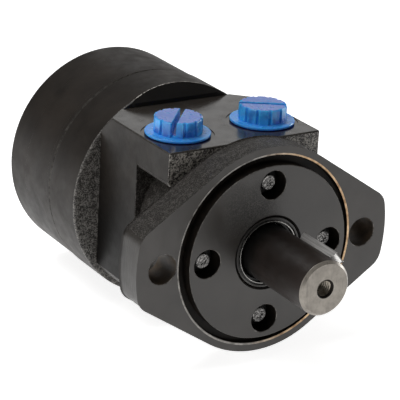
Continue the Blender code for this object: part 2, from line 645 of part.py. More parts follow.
def build_gerotor():
    """Stator ring and the rotor that rolls inside it."""
    stator = add_object("stator_ring", tube(RING_FRONT, RING_REAR, 0.010, DRUM_RADIUS, FINE), PAINT)
    cut(stator, "ring_lobe_tool", prism(ring_outline(), RING_FRONT - 0.001, RING_REAR + 0.001))
    cut(stator, "stator_hole_tool", bolt_holes(RING_FRONT - 0.001, RING_REAR + 0.001))
    cut(stator, "stator_seal_groove_tool", seal_groove(RING_FRONT, 1))
    rotor = add_object("rotor", prism(rotor_outline(), RING_FRONT, RING_REAR), STEEL,
                       (0, 0, ECCENTRICITY))
    tip = DRIVE_TIP_RADIUS + SPLINE_CLEARANCE
    root = DRIVE_ROOT_RADIUS + SPLINE_CLEARANCE
    spline = add_object("rotor_spline_tool",
                        prism(star_outline(SPLINE_TEETH, root, tip), RING_FRONT - 0.001,
                              RING_REAR + 0.001), STEEL, (0, 0, ECCENTRICITY))
    combine(rotor, spline, "DIFFERENCE")


def build_end_cover():
    """Rear cover with a rounded edge and counterbored bolt holes."""
    edge = [(COVER_REAR - COVER_EDGE + COVER_EDGE * math.sin(t),
             DRUM_RADIUS - COVER_EDGE + COVER_EDGE * math.cos(t))
            for t in (k * UP / 3 for k in range(4))]
    cover = add_object("end_cover",
                       revolve([(COVER_FRONT, 0), (COVER_FRONT, DRUM_RADIUS)] + edge
                               + [(COVER_REAR, 0)], FINE, False), PAINT)
    cut(cover, "cover_hole_tool", bolt_holes(COVER_FRONT - 0.001, COVER_REAR))
    heads = bmesh.new()
    for x, z, _ in around(RING_LOBES, BOLT_CIRCLE):
        add_rod(heads, (x, BOLT_COUNTERBORE_FLOOR, z), (x, COVER_REAR + 0.002, z),
                BOLT_COUNTERBORE_RADIUS, SMALL)
    cut(cover, "cover_counterbore_tool", heads)
    cut(cover, "cover_seal_groove_tool", seal_groove(COVER_FRONT, 1))


def build_cover_bolts():
    """Seven socket-head bolts that clamp the cover, stator and plate to the housing."""
    seat = BOLT_COUNTERBORE_FLOOR + GAP
    top = seat + BOLT_HEAD_HEIGHT
    floor = top - BOLT_SOCKET_DEPTH
    profile = [(BOLT_END, 0), (BOLT_END, BOLT_RADIUS), (seat, BOLT_RADIUS), (seat, BOLT_HEAD_RADIUS),
               (top, BOLT_HEAD_RADIUS), (top, BOLT_SOCKET_RADIUS), (floor, BOLT_SOCKET_RADIUS),
               (floor, 0)]
    for number, (x, z, _) in enumerate(around(RING_LOBES, BOLT_CIRCLE), 1):
        add_object(f"cover_bolt_{number}", revolve(profile, SMALL, False), OXIDE, (x, 0, z))


def build_plate_seals():
    """Round face seals that sit in the housing, stator and cover grooves."""
    section = PLATE_SEAL_SECTION
    places = {"housing_face_seal": HOUSING_REAR - section - 0.0001,
              "stator_face_seal": RING_FRONT + section + 0.0001,
              "cover_face_seal": COVER_FRONT + section + 0.0001}
    for name, y in places.items():
        add_object(name, torus(y, PLATE_SEAL_RADIUS, section, MEDIUM), RUBBER)


def build_cardan_drive():
    """Drive link that tilts from the shaft's spline to the orbiting rotor, and its spacer."""
    rear = DRIVE_END - DRIVE_PIVOT
    front = DRIVE_FRONT - DRIVE_PIVOT
    star = star_outline(SPLINE_TEETH, DRIVE_ROOT_RADIUS, DRIVE_TIP_RADIUS)
    link = add_object("cardan_drive", prism(star, front, -front), STEEL,
                      (0, DRIVE_PIVOT, 0), (DRIVE_TILT, 0, 0))
    shank = bmesh.new()
    add_rod(shank, (0, -front / 2, 0), (0, rear - DRIVE_ENGAGED / 2, 0), DRIVE_SHANK_RADIUS, 20)
    for name, tool in (("shank", shank), ("rear_spline", prism(star, rear - DRIVE_ENGAGED, rear))):
        combine(link, add_object(f"drive_{name}_tool", tool, STEEL, (0, DRIVE_PIVOT, 0),
                                 (DRIVE_TILT, 0, 0)), "UNION")
    spacer = bmesh.new()
    add_rod(spacer, (0, DRIVE_END + 0.0006, 0), (0, RING_REAR - GAP, 0), DRIVE_SPACER_RADIUS, 24)
    add_object("drive_spacer", spacer, STEEL, (0, 0, ECCENTRICITY))


def main():
    clear_scene()
    build_mounting_flange()
    build_flange_screws()
    build_flange_seals()
    build_thrust_bearing()
    build_output_shaft()
    build_housing()
    build_port_plugs()
    build_spacer_plate()
    build_gerotor()
    build_end_cover()
    build_cover_bolts()
    build_plate_seals()
    build_cardan_drive()


main()
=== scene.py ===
"""Looks of an orbital hydraulic motor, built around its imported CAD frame.

Lengths are in metres. The shaft points along -Y, the port face looks along +Z, and the origin is
the centre of the flange's mounting face.
"""
import math

import bmesh
import bpy
from mathutils import Matrix, Vector


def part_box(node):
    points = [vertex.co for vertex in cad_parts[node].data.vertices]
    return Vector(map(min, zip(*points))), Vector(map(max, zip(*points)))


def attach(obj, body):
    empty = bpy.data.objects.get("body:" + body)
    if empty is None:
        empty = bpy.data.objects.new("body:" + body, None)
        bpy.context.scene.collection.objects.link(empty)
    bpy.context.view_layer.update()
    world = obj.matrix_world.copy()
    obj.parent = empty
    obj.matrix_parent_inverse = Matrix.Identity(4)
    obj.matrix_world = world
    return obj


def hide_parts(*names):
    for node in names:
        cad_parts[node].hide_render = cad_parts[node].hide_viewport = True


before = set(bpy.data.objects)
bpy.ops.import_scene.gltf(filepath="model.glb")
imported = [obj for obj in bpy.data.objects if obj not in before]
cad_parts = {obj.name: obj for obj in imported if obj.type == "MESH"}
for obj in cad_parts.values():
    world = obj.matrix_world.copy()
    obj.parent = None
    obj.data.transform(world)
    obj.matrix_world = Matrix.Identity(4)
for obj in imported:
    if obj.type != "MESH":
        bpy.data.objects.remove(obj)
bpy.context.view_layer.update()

UP = math.pi / 2
MM = 0.001

# Camera: azimuth 0 looks along +Y, and the aim is an offset in the picture's own plane
CAMERA_AZIMUTH = math.radians(-32.763)
CAMERA_ELEVATION = math.radians(21.172)
CAMERA_ROLL = math.radians(3.286)
CAMERA_DISTANCE = 0.848045
CAMERA_RIGHT = 0.029153
CAMERA_DOWN = 0.022495
SENSOR = 36.0
LENS = 170.88
FLOOR_GLOW = 0.80

# Mounting flange
PILOT_RADIUS = 41.275 * MM
PILOT_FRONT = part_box("mounting_flange")[0].y
FLANGE_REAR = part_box("mounting_flange")[1].y
GROOVE_RADIUS = 45.0 * MM
GROOVE_FLOOR = 3.2 * MM
WAIST_RADIUS = 49.0 * MM
EAR_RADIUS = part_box("mounting_flange")[1].x
FLANK_ANGLE = math.radians(56.5)
EAR_CORNER = 4.0 * MM
MOUNT_HOLE_OFFSET = 53.2 * MM
MOUNT_HOLE_RADIUS = 6.9 * MM
SCREW_COUNT = 4
SCREW_CIRCLE = 32.1 * MM
COUNTERBORE_RADIUS = 6.75 * MM
COUNTERBORE_FLOOR = 7.2 * MM
SCREW_HOLE_RADIUS = 4.3 * MM
SCREW_HOLE_END = 32 * MM
SEAL_BORE_RADIUS = 17.0 * MM
SEAL_BORE_END = 6.5 * MM
SEAL_WEB_RADIUS = 14.0 * MM
BEARING_RECESS_RADIUS = 22.0 * MM
BEARING_RECESS_START = 8.5 * MM

# Shaft and key
SHAFT_RADIUS = 12.7 * MM
SHAFT_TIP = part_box("output_shaft")[0].y
TIP_CHAMFER = 1.2 * MM
SHOULDER = 15.5 * MM
SPOOL_RADIUS = 18.6 * MM
SPOOL_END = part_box("output_shaft")[1].y
SPOOL_GROOVE = 16.6 * MM
SPLINE_RELIEF = 9.5 * MM
SPLINE_BORE = 13.2 * MM
GALLERIES = (37.1 * MM, 48.1 * MM)
GALLERY_HALF = 3.0 * MM
GALLERY_RADIUS = 22.0 * MM
SPOOL_BORE_RADIUS = 19.0 * MM
KEY_ANGLE = math.radians(40)
KEY_WIDTH = 6.35 * MM
KEY_CENTRE = -27.0 * MM
KEY_TOP = 15.8 * MM
KEY_DISC_RADIUS = 12.7 * MM
KEY_HEIGHT = 11.1 * MM

# Housing
HOUSING_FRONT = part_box("housing")[0].y
HOUSING_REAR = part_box("housing")[1].y
NECK_RADIUS = 38.0 * MM
BLOCK_FRONT = 20.6 * MM
BLOCK_HALF_WIDTH = 40.1 * MM
BLOCK_UNDERSIDE = 28.9 * MM
PORT_FACE = 44.7 * MM
BLOCK_CORNER = 0.75 * MM
BLOCK_FILLET = 2.0 * MM
CAST_EDGE = 0.70 * MM
BELLY_FRONT = 48.0 * MM
BELLY_RADIUS = 50.5 * MM
BAND_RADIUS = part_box("housing")[1].x
BAND_FRONT = 81.5 * MM
BAND_REAR = 106.2 * MM
BAND_STEP = 50.5 * MM
RELIEF_START = (71.3 * MM, 60.4 * MM)
RELIEF_END = (82.0 * MM, 53.5 * MM)
WALL_FOOT = 80.4 * MM
WALL_SLOPE = 0.55

# Ports and plugs
PORT_OFFSET = 22.7 * MM
PORT_CENTRE = 42.6 * MM
PORT_RADIUS = 10.2 * MM
PORT_DEPTH = 12.6 * MM
SPOTFACE_RADIUS = 16.7 * MM
SPOTFACE_DEPTH = 0.35 * MM
PLUG_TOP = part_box("port_plug_left")[1].z - PORT_FACE
PLUG_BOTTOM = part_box("port_plug_left")[0].z - PORT_FACE
PLUG_SEAT = 0.15 * MM
PLUG_STUB_RADIUS = 9.3 * MM
PLUG_RIM_RADIUS = 15.1 * MM
PLUG_RIM_TOP = 1.5 * MM
PLUG_KNOB_RADIUS = 11.5 * MM
PLUG_FACETS = 12
PLUG_SLOT_WIDTH = 2.1 * MM
PLUG_SLOT_FLOOR = 2.4 * MM
PLUG_SLOT_ANGLES = {"left": math.radians(49), "right": math.radians(-30.5)}

# Drum
PLATE_FRONT, PLATE_REAR = (corner.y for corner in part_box("spacer_plate"))
DRUM_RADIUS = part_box("stator_ring")[1].x
RING_FRONT, RING_REAR = (corner.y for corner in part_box("stator_ring"))
COVER_FRONT, COVER_REAR = (corner.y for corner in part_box("end_cover"))
RING_LOBES = 7
LOBE_CIRCLE = 32.0 * MM
LOBE_RADIUS = 6.6 * MM
RING_BORE = 31.9 * MM
BOLT_CIRCLE = 43.0 * MM
BOLT_HOLE_RADIUS = 4.4 * MM
BOLT_RADIUS = 4.0 * MM
BOLT_HEAD_RADIUS = 6.5 * MM
BOLT_COUNTERBORE = 7.0 * MM
BOLT_FLOOR = 140.2 * MM
BOLT_SEAT = 140.5 * MM
BOLT_TOP = 148.5 * MM
BOLT_FRONT = 94.0 * MM
BOLT_HOLE_END = 91.5 * MM
HEX_RADIUS = 3.7 * MM
HEX_DEPTH = 4.0 * MM
FACE_SEAL_RADIUS = 36.0 * MM
FACE_SEAL_GROOVE = 1.4 * MM
FACE_SEAL_DEPTH = 2.3 * MM

FINE = 192                # facets round the large pieces
MEDIUM = 96               # facets round the shaft, ports and holes
SMALL = 48                # facets round the bolts
CREASE = math.radians(28)


# ---------------------------------------------------------------- shapes

def rounded(points, radius=0.3 * MM, steps=4, closed=True):
    """An outline with its corners rounded. A point is (a, b), or (a, b, its own radius)."""
    result = []
    last = len(points) - 1
    for index, point in enumerate(points):
        here = Vector(point[:2])
        size = point[2] if len(point) > 2 else radius
        if size <= 0 or (not closed and index in (0, last)):
            result.append(tuple(here))
            continue
        before = Vector(points[index - 1][:2]) - here
        after = Vector(points[(index + 1) % len(points)][:2]) - here
        reach = size / math.tan(before.angle(after) / 2)
        reach = min(reach, 0.45 * before.length, 0.45 * after.length)
        start = here + before.normalized() * reach
        end = here + after.normalized() * reach
        for step in range(steps + 1):
            t = step / steps
            result.append(tuple(start * (1 - t) ** 2 + here * 2 * t * (1 - t) + end * t ** 2))
    return result


def arc(radius, start, end, steps):
    """Points on a circle about the origin."""
    angles = [start + (end - start) * k / steps for k in range(steps + 1)]
    return [(radius * math.cos(a), radius * math.sin(a)) for a in angles]


def around(count, radius, offset=UP):
    """Evenly spaced (x, z) points on a circle about the shaft."""
    angles = [offset + 2 * math.pi * k / count for k in range(count)]
    return [(radius * math.cos(a), radius * math.sin(a)) for a in angles]


def lathe(profile, segments=MEDIUM, centre=(0, 0, 0), upright=False):
    """Spin a closed (height, radius) outline round Y, or round Z when upright."""
    bm = bmesh.new()
    points = [bm.verts.new((r, h, 0)) for h, r in profile]
    edges = [bm.edges.new(pair) for pair in zip(points, points[1:])]
    if profile[0][1] > 0 or profile[-1][1] > 0:
        edges.append(bm.edges.new((points[-1], points[0])))
    bmesh.ops.spin(bm, geom=points + edges, cent=(0, 0, 0), axis=(0, 1, 0),
                   angle=2 * math.pi, steps=segments, use_merge=True)
    bmesh.ops.remove_doubles(bm, verts=bm.verts, dist=1e-7)
    if upright:
        bmesh.ops.rotate(bm, verts=bm.verts, matrix=Matrix.Rotation(UP, 3, "X"))
    bmesh.ops.translate(bm, verts=bm.verts, vec=centre)
    bmesh.ops.recalc_face_normals(bm, faces=bm.faces)
    return bm


def loft(sections, upright=False):
    """Skin over stacked outlines of equal length, closed by a flat face at each end.

    A section is (height, outline). Outlines are (x, z) along Y, or (x, y) along Z when upright.
    """
    bm = bmesh.new()
    rings = []
    for height, outline in sections:
        rings.append([bm.verts.new((a, b, height) if upright else (a, height, b))
                      for a, b in outline])
    for lower, upper in zip(rings, rings[1:]):
        for k in range(len(lower)):
            n = (k + 1) % len(lower)
            bm.faces.new((lower[k], lower[n], upper[n], upper[k]))
    bm.faces.new(rings[0])
    bm.faces.new(rings[-1])
    bmesh.ops.recalc_face_normals(bm, faces=bm.faces)
    return bm


def inset(outline, distance):
    """An outline moved inwards along its own normals. The outline runs anticlockwise."""
    result = []
    for k, point in enumerate(outline):
        before = Vector(outline[k - 1])
        after = Vector(outline[(k + 1) % len(outline)])
        along = (after - before).normalized()
        result.append((point[0] - along.y * distance, point[1] + along.x * distance))
    return result


def edge_levels(front, rear, outline, size, upright=False):
    """Loft of one outline: full size at both ends, drawn in by a small size between them."""
    steps = 3
    drawn_in = [size * (1 - math.cos(UP * k / steps)) for k in range(steps + 1)]
    sections = [(front + depth, inset(outline, depth)) for depth in drawn_in]
    sections += [(rear - depth, inset(outline, depth)) for depth in reversed(drawn_in)]
    return loft(sections, upright)


def gather(parts):
    """One bmesh that holds several."""
    whole = bmesh.new()
    for part in parts:
        mesh = bpy.data.meshes.new("part")
        part.to_mesh(mesh)
        part.free()
        whole.from_mesh(mesh)
        bpy.data.meshes.remove(mesh)
    return whole


def make(name, bm):
    """A linked object from a bmesh."""
    mesh = bpy.data.meshes.new(name)
    bm.to_mesh(mesh)
    bm.free()
    made = bpy.data.objects.new(name, mesh)
    bpy.context.scene.collection.objects.link(made)
    return made


def freeze(target):
    """Apply every modifier of an object to its mesh."""
    graph = bpy.context.evaluated_depsgraph_get()
    mesh = bpy.data.meshes.new_from_object(target.evaluated_get(graph))
    target.modifiers.clear()
    target.data = mesh


def combine(target, bm, operation="DIFFERENCE"):
    """Apply an exact Boolean with a bmesh to an object."""
    tool = make("tool", bm)
    modifier = target.modifiers.new("combine", "BOOLEAN")
    modifier.object = tool
    modifier.operation = operation
    modifier.solver = "EXACT"
    freeze(target)
    bpy.data.objects.remove(tool, do_unlink=True)


def polish(target, crease=CREASE):
    """Smooth shading that stays flat on flat faces and sharp at real corners."""
    bm = bmesh.new()
    bm.from_mesh(target.data)
    bmesh.ops.remove_doubles(bm, verts=bm.verts, dist=2e-6)
    bmesh.ops.dissolve_degenerate(bm, edges=bm.edges, dist=2e-6)
    bm.to_mesh(target.data)
    bm.free()
    target.data.shade_smooth()
    target.data.set_sharp_from_angle(angle=crease)
    modifier = target.modifiers.new("normals", "WEIGHTED_NORMAL")
    modifier.keep_sharp = True
    modifier.weight = 100
    freeze(target)


def paint(target, materials, rule=None):
    """Give an object its materials. The rule picks one for each face by (centre, normal)."""
    names = list(materials)
    target.data.materials.clear()
    for name in names:
        target.data.materials.append(MATERIALS[name])
    for face in target.data.polygons:
        face.material_index = names.index(rule(face.center, face.normal)) if rule else 0


def finish_piece(piece, body, nodes, materials, rule=None):
    """Shade and paint a piece, tie it to its CAD body, and hide the CAD nodes it replaces."""
    polish(piece)
    paint(piece, materials, rule)
    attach(piece, body)
    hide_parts(*nodes)


# ---------------------------------------------------------------- materials

class Shading:
    """A Principled material with a few helpers for its procedural nodes."""

    def __init__(self, name, roughness, metallic=0.0, **fixed):
        self.material = bpy.data.materials.new(name)
        self.material.use_nodes = True
        self.tree = self.material.node_tree
        self.shader = self.tree.nodes["Principled BSDF"]
        self.shader.inputs["Roughness"].default_value = roughness
        self.shader.inputs["Metallic"].default_value = metallic
        for socket, value in fixed.items():
            self.shader.inputs[socket.replace("_", " ")].default_value = value
        self.place = self.node("ShaderNodeTexCoord").outputs["Object"]

    def node(self, kind, settings=None, **inputs):
        """A new node with its settings, and its inputs set to values or linked to sockets."""
        made = self.tree.nodes.new(kind)
        for key, value in (settings or {}).items():
            setattr(made, key, value)
        for key, value in inputs.items():
            socket = made.inputs[int(key[1:]) if key[1:].isdigit() else key.replace("_", " ")]
            if isinstance(value, bpy.types.NodeSocket):
                self.tree.links.new(value, socket)
            else:
                socket.default_value = value
        return made

    def stretched(self, scale):
        """Object coordinates scaled by a different amount along each axis."""
        return self.node("ShaderNodeMapping", Vector=self.place, Scale=scale).outputs[0]

    def noise(self, scale, detail=3.0, place=None, roughness=0.55):
        """Noise with features of about 1 / scale metres, from 0 to 1."""
        return self.node("ShaderNodeTexNoise", Vector=place or self.place, Scale=scale,
                         Detail=detail, Roughness=roughness).outputs["Fac"]

    def spread(self, value, low, high, start=0.0, end=1.0):
        """Map a value from one range to another, and clamp it."""
        return self.node("ShaderNodeMapRange", Value=value, From_Min=low, From_Max=high,
                         To_Min=start, To_Max=end).outputs[0]

    def cloud(self, scale, detail=4, low=0.35, high=0.7, start=0.0, end=1.0):
        """Soft patches of noise, spread over a range."""
        return self.spread(self.noise(scale, detail), low, high, start, end)

    def streaks(self, scale, detail=2):
        """Noise with a different scale along each axis."""
        return self.noise(1.0, detail, self.stretched(scale))

    def rings(self, scale, detail):
        """Fine rings about the shaft's axis."""
        reach = self.node("ShaderNodeCombineXYZ", X=self.from_axis()).outputs[0]
        return self.noise(scale, detail, reach)

    def math(self, operation, a, b):
        """One arithmetic step."""
        return self.node("ShaderNodeMath", {"operation": operation}, _0=a, _1=b).outputs[0]

    def blend(self, factor, a, b):
        """A colour between two colours."""
        mix = self.node("ShaderNodeMix", {"data_type": "RGBA"}, Factor=factor)
        for socket, value in ((mix.inputs[6], a), (mix.inputs[7], b)):
            if isinstance(value, bpy.types.NodeSocket):
                self.tree.links.new(value, socket)
            else:
                socket.default_value = (*value, 1.0)
        return mix.outputs[2]

    def colour(self, socket):
        """Use a socket, or a plain (r, g, b), as the base colour."""
        if isinstance(socket, tuple):
            self.shader.inputs["Base Color"].default_value = (*socket, 1.0)
        else:
            self.tree.links.new(socket, self.shader.inputs["Base Color"])

    def rough(self, socket):
        """Use a socket as the roughness."""
        self.tree.links.new(socket, self.shader.inputs["Roughness"])

    def bump(self, layers):
        """Stack bumps, each (height socket, depth in metres)."""
        normal = None
        for height, depth in layers:
            made = self.node("ShaderNodeBump", Height=height, Distance=depth, Strength=1.0)
            if normal:
                self.tree.links.new(normal, made.inputs["Normal"])
            normal = made.outputs[0]
        self.tree.links.new(normal, self.shader.inputs["Normal"])

    def axis(self, name):
        """One object coordinate."""
        return self.node("ShaderNodeSeparateXYZ", Vector=self.place).outputs[name]

    def from_axis(self):
        """Distance from the shaft's axis."""
        flat = self.stretched((1, 0, 1))
        return self.node("ShaderNodeVectorMath", {"operation": "LENGTH"}, _0=flat).outputs["Value"]


PAINT_DARK = (0.0125, 0.0100, 0.0082)
PAINT_LIGHT = (0.0260, 0.0215, 0.0180)
DUST = (0.15, 0.14, 0.13)
BARE_METAL_HIGHLIGHT = (0.75, 0.71, 0.66)
MACHINED_LIGHT = (0.036, 0.031, 0.027)
MACHINED_DARK = (0.022, 0.019, 0.016)


def painted_metal(name, roughness, light=PAINT_LIGHT, dark=PAINT_DARK, gloss=0.40,
                  orange_peel=0.012 * MM, marks=None, marks_depth=0.0, chip_highlight=0.0):
    """Satin black-brown paint on a machined face, with clouds, dust and fine tool marks.

    Chip highlight: light spots along the sloping wall's upper edge, chipped paint and a painted
    highlight.
    """
    s = Shading(name, roughness, Specular_IOR_Level=gloss)
    dust = s.cloud(2600, 2, 0.72, 0.82)
    base = s.blend(s.cloud(45, 4, 0.35, 0.68), dark, light)
    base = s.blend(s.math("MULTIPLY", dust, 0.30), base, DUST)
    # painted highlight and chipped paint along the wall's upper edge
    if chip_highlight:
        behind = s.node("ShaderNodeVectorMath", {"operation": "DOT_PRODUCT"}, _0=s.place,
                        _1=(0, 1, -WALL_SLOPE)).outputs["Value"]
        gap = s.math("ABSOLUTE", s.math("SUBTRACT", behind, WALL_FOOT - WALL_SLOPE * PORT_FACE), 0)
        chip_highlight_mask = s.math("MULTIPLY", s.spread(gap, 0.7 * MM, 0.3 * MM),
                         s.spread(s.noise(500, 4, roughness=0.7), 0.44, 0.56))
        base = s.blend(s.math("MULTIPLY", chip_highlight_mask, chip_highlight), base, BARE_METAL_HIGHLIGHT)
    s.colour(base)
    s.rough(s.cloud(160, 4, 0.3, 0.7, roughness - 0.05, roughness + 0.09))
    layers = [(s.noise(900, 3), orange_peel)]
    if marks:
        layers.append((s.streaks(marks), marks_depth))
    s.bump(layers)
    return s.material


def milled_side():
    """Block side and belly: mottled satin paint, with painted shade that darkens it towards the
    underside.
    """
    s = Shading("block_side", 0.42, Specular_IOR_Level=0.17)
    # painted shade, darkest at the underside
    low = s.spread(s.axis("Z"), 22 * MM, -8 * MM)
    clouds = s.spread(s.noise(110, 5, roughness=0.6), 0.35, 0.7)
    base = s.blend(clouds, (0.0095, 0.0076, 0.0061), (0.0190, 0.0155, 0.0128))
    s.colour(s.blend(low, base, (0.0030, 0.0025, 0.0021)))
    s.rough(s.cloud(160, 4, 0.3, 0.7, 0.37, 0.52))
    s.bump([(s.noise(420, 4), 0.05 * MM), (s.noise(1500, 3), 0.02 * MM)])
    return s.material


def rough_casting(name, grain, depth, bright, cover=0.68, painted_glint=(0.20, 0.19, 0.175), gloss=0.45,
                  paint_light=PAINT_LIGHT):
    """Painted sand casting: lumps and fine sharp grain, with painted glints on the high spots and
    painted shade in the hollows.
    """
    s = Shading(name, 0.40, Specular_IOR_Level=gloss)
    lumps = s.noise(grain * 0.30, 4, roughness=0.6)
    sand = s.noise(grain, 5, roughness=0.75)
    peaks = s.spread(s.math("ADD", s.math("MULTIPLY", lumps, 0.35), sand), cover, cover + 0.12)
    # painted shade in the sand's hollows
    hollow_shade = s.spread(sand, 0.50, 0.36)
    base = s.blend(s.cloud(60), PAINT_DARK, paint_light)
    base = s.blend(hollow_shade, base, (0.005, 0.004, 0.0035))
    # painted glints on the high spots, as strong as bright
    s.colour(s.blend(s.math("MULTIPLY", peaks, bright), base, painted_glint))
    s.rough(s.spread(peaks, 0.0, 1.0, 0.50, 0.26))
    s.bump([(lumps, depth * 1.8), (sand, depth)])
    return s.material


def pilot_paint():
    """The pilot's face: turned rings, and a patch left as cast beside the seal."""
    s = Shading("pilot_paint", 0.32, Specular_IOR_Level=0.55)
    offset = s.node("ShaderNodeVectorMath", {"operation": "DISTANCE"}, _0=s.stretched((1, 0, 1)),
                    _1=(-10 * MM, 0, 22 * MM)).outputs["Value"]
    wobble = s.cloud(120, 3, 0.3, 0.7, -5 * MM, 5 * MM)
    patch = s.spread(s.math("ADD", offset, wobble), 20 * MM, 6 * MM)
    clouds = s.cloud(40)
    grain = s.spread(s.noise(1900, 4, roughness=0.7), 0.46, 0.62)
    base = s.blend(clouds, (0.021, 0.018, 0.0155), (0.034, 0.030, 0.026))
    rough_colour = s.blend(grain, (0.005, 0.0045, 0.004), (0.060, 0.055, 0.050))
    s.colour(s.blend(s.math("MULTIPLY", patch, 0.85), base, rough_colour))
    s.rough(s.spread(patch, 0.0, 1.0, 0.33, 0.60))
    s.bump([(s.rings(1400, 1), 0.006 * MM), (s.math("MULTIPLY", s.noise(1900, 4), patch), 0.16 * MM),
            (s.noise(900, 3), 0.010 * MM)])
    return s.material


def groove_lip_highlight():
    """Thin lip of the pilot groove with a painted highlight: grey, and copper brown, partly a rust
    tone, on the right side that faces the light.
    """
    s = Shading("groove_lip_highlight", 0.34, 0.25)
    # the right side, which faces the light, gets the copper painted highlight
    side = s.spread(s.axis("X"), -6 * MM, 20 * MM)
    wear_and_highlight = s.cloud(260, 4, 0.35, 0.65)
    grey_highlight = s.blend(wear_and_highlight, (0.10, 0.095, 0.088), (0.42, 0.40, 0.37))
    copper_highlight = s.blend(wear_and_highlight, (0.34, 0.19, 0.085), (0.88, 0.62, 0.36))
    s.colour(s.blend(side, grey_highlight, copper_highlight))
    s.bump([(s.noise(700, 3), 0.02 * MM)])
    return s.material


def bare_lit_edge(name, worn_lit_colour, metallic=0.25):
    """Thin paint over a chamfer, lighter in patches: partly rubbed through, partly a painted highlight.
    """
    s = Shading(name, 0.34, metallic)
    wear_and_highlight = s.spread(s.noise(420, 5, roughness=0.7), 0.42, 0.66)
    s.colour(s.blend(wear_and_highlight, (0.022, 0.019, 0.016), worn_lit_colour))
    s.bump([(s.noise(1200, 3), 0.02 * MM)])
    return s.material


def shaft_oxide():
    """Black-brown oxide on ground steel, with fine rings and light handling marks, and painted shade
    near the flange.
    """
    s = Shading("shaft_oxide", 0.36, Specular_IOR_Level=0.40)
    along = s.axis("Y")
    near_tip = s.spread(along, -20 * MM, SHAFT_TIP, 0.0, 1.0)
    clouds = s.cloud(55, 5)
    dark = s.blend(clouds, (0.0070, 0.0050, 0.0042), (0.0150, 0.0100, 0.0080))
    brown = s.blend(s.math("MULTIPLY", near_tip, 0.5), dark, (0.026, 0.018, 0.0145))
    # darker towards the flange: painted shade and reflection of the dark seal recess, partly oil
    s.colour(s.blend(s.spread(along, -11 * MM, -5 * MM), brown, (0.0015, 0.0014, 0.0013)))
    s.rough(s.cloud(240, 4, 0.3, 0.7, 0.30, 0.44))
    s.bump([(s.streaks((40, 2600, 40)), 0.004 * MM),
            (s.noise(700, 3), 0.008 * MM)])
    return s.material


def faced_steel(name, light, dark, roughness=0.34, metallic=0.75):
    """Turned steel with concentric tool marks, light stains and scratches."""
    s = Shading(name, roughness, metallic)
    stains = s.spread(s.noise(210, 5, roughness=0.65), 0.40, 0.66)
    scratches = s.spread(s.streaks((700, 700, 90)), 0.60, 0.72)
    base = s.blend(stains, light, dark)
    s.colour(s.blend(s.math("MULTIPLY", scratches, 0.4), base, tuple(c * 0.45 for c in dark)))
    s.rough(s.spread(stains, 0.0, 1.0, roughness - 0.04, roughness + 0.12))
    s.bump([(s.rings(1800, 2), 0.012 * MM), (s.noise(1500, 3), 0.010 * MM)])
    return s.material


def mottled_zinc():
    """Bright plated screw with a dimpled, glinting top."""
    s = Shading("mottled_zinc", 0.34, 0.75)
    dimples = s.noise(1500, 3, roughness=0.6)
    spots = s.spread(s.noise(1700, 3, roughness=0.65), 0.44, 0.62)
    s.colour(s.blend(spots, (0.050, 0.049, 0.048), (0.36, 0.35, 0.34)))
    s.rough(s.spread(spots, 0.0, 1.0, 0.5, 0.28))
    s.bump([(dimples, 0.16 * MM), (s.noise(3200, 2), 0.04 * MM)])
    return s.material


def key_steel():
    """Cold-drawn key steel with lines along its length."""
    s = Shading("key_steel", 0.36, 0.45)
    lines = s.streaks((1600, 45, 1600), 3)
    s.colour(s.blend(s.spread(lines, 0.35, 0.65), (0.20, 0.195, 0.19), (0.40, 0.39, 0.38)))
    s.bump([(lines, 0.02 * MM), (s.noise(1300, 3), 0.015 * MM)])
    return s.material


def ground_steel():
    """Hardened and ground inner parts with a thin oil film."""
    s = Shading("ground_steel", 0.22, 1.0, Coat_Weight=0.3, Coat_Roughness=0.08)
    tint = s.cloud(70)
    s.colour(s.blend(tint, (0.46, 0.45, 0.43), (0.58, 0.57, 0.55)))
    s.rough(s.cloud(500, 3, 0.3, 0.7, 0.17, 0.30))
    s.bump([(s.streaks((2200, 120, 2200)), 0.004 * MM)])
    return s.material


def drifting(name, roughness, metallic, patches, dark, light, grain, depth, rough=None, gloss=0.5):
    """A colour that drifts to another in soft patches, over a fine grain."""
    s = Shading(name, roughness, metallic, Specular_IOR_Level=gloss)
    s.colour(s.blend(s.cloud(*patches), dark, light))
    if rough:
        s.rough(s.cloud(*rough))
    s.bump([(s.noise(grain, 3), depth)])
    return s.material


def black_rubber():
    """Moulded nitrile rubber with a faint bloom."""
    s = Shading("black_rubber", 0.50)
    bloom = s.cloud(320, 4, 0.4, 0.7)
    s.colour(s.blend(bloom, (0.006, 0.006, 0.006), (0.018, 0.018, 0.018)))
    s.rough(s.spread(bloom, 0.0, 1.0, 0.38, 0.56))
    s.bump([(s.noise(2200, 3), 0.012 * MM)])
    return s.material


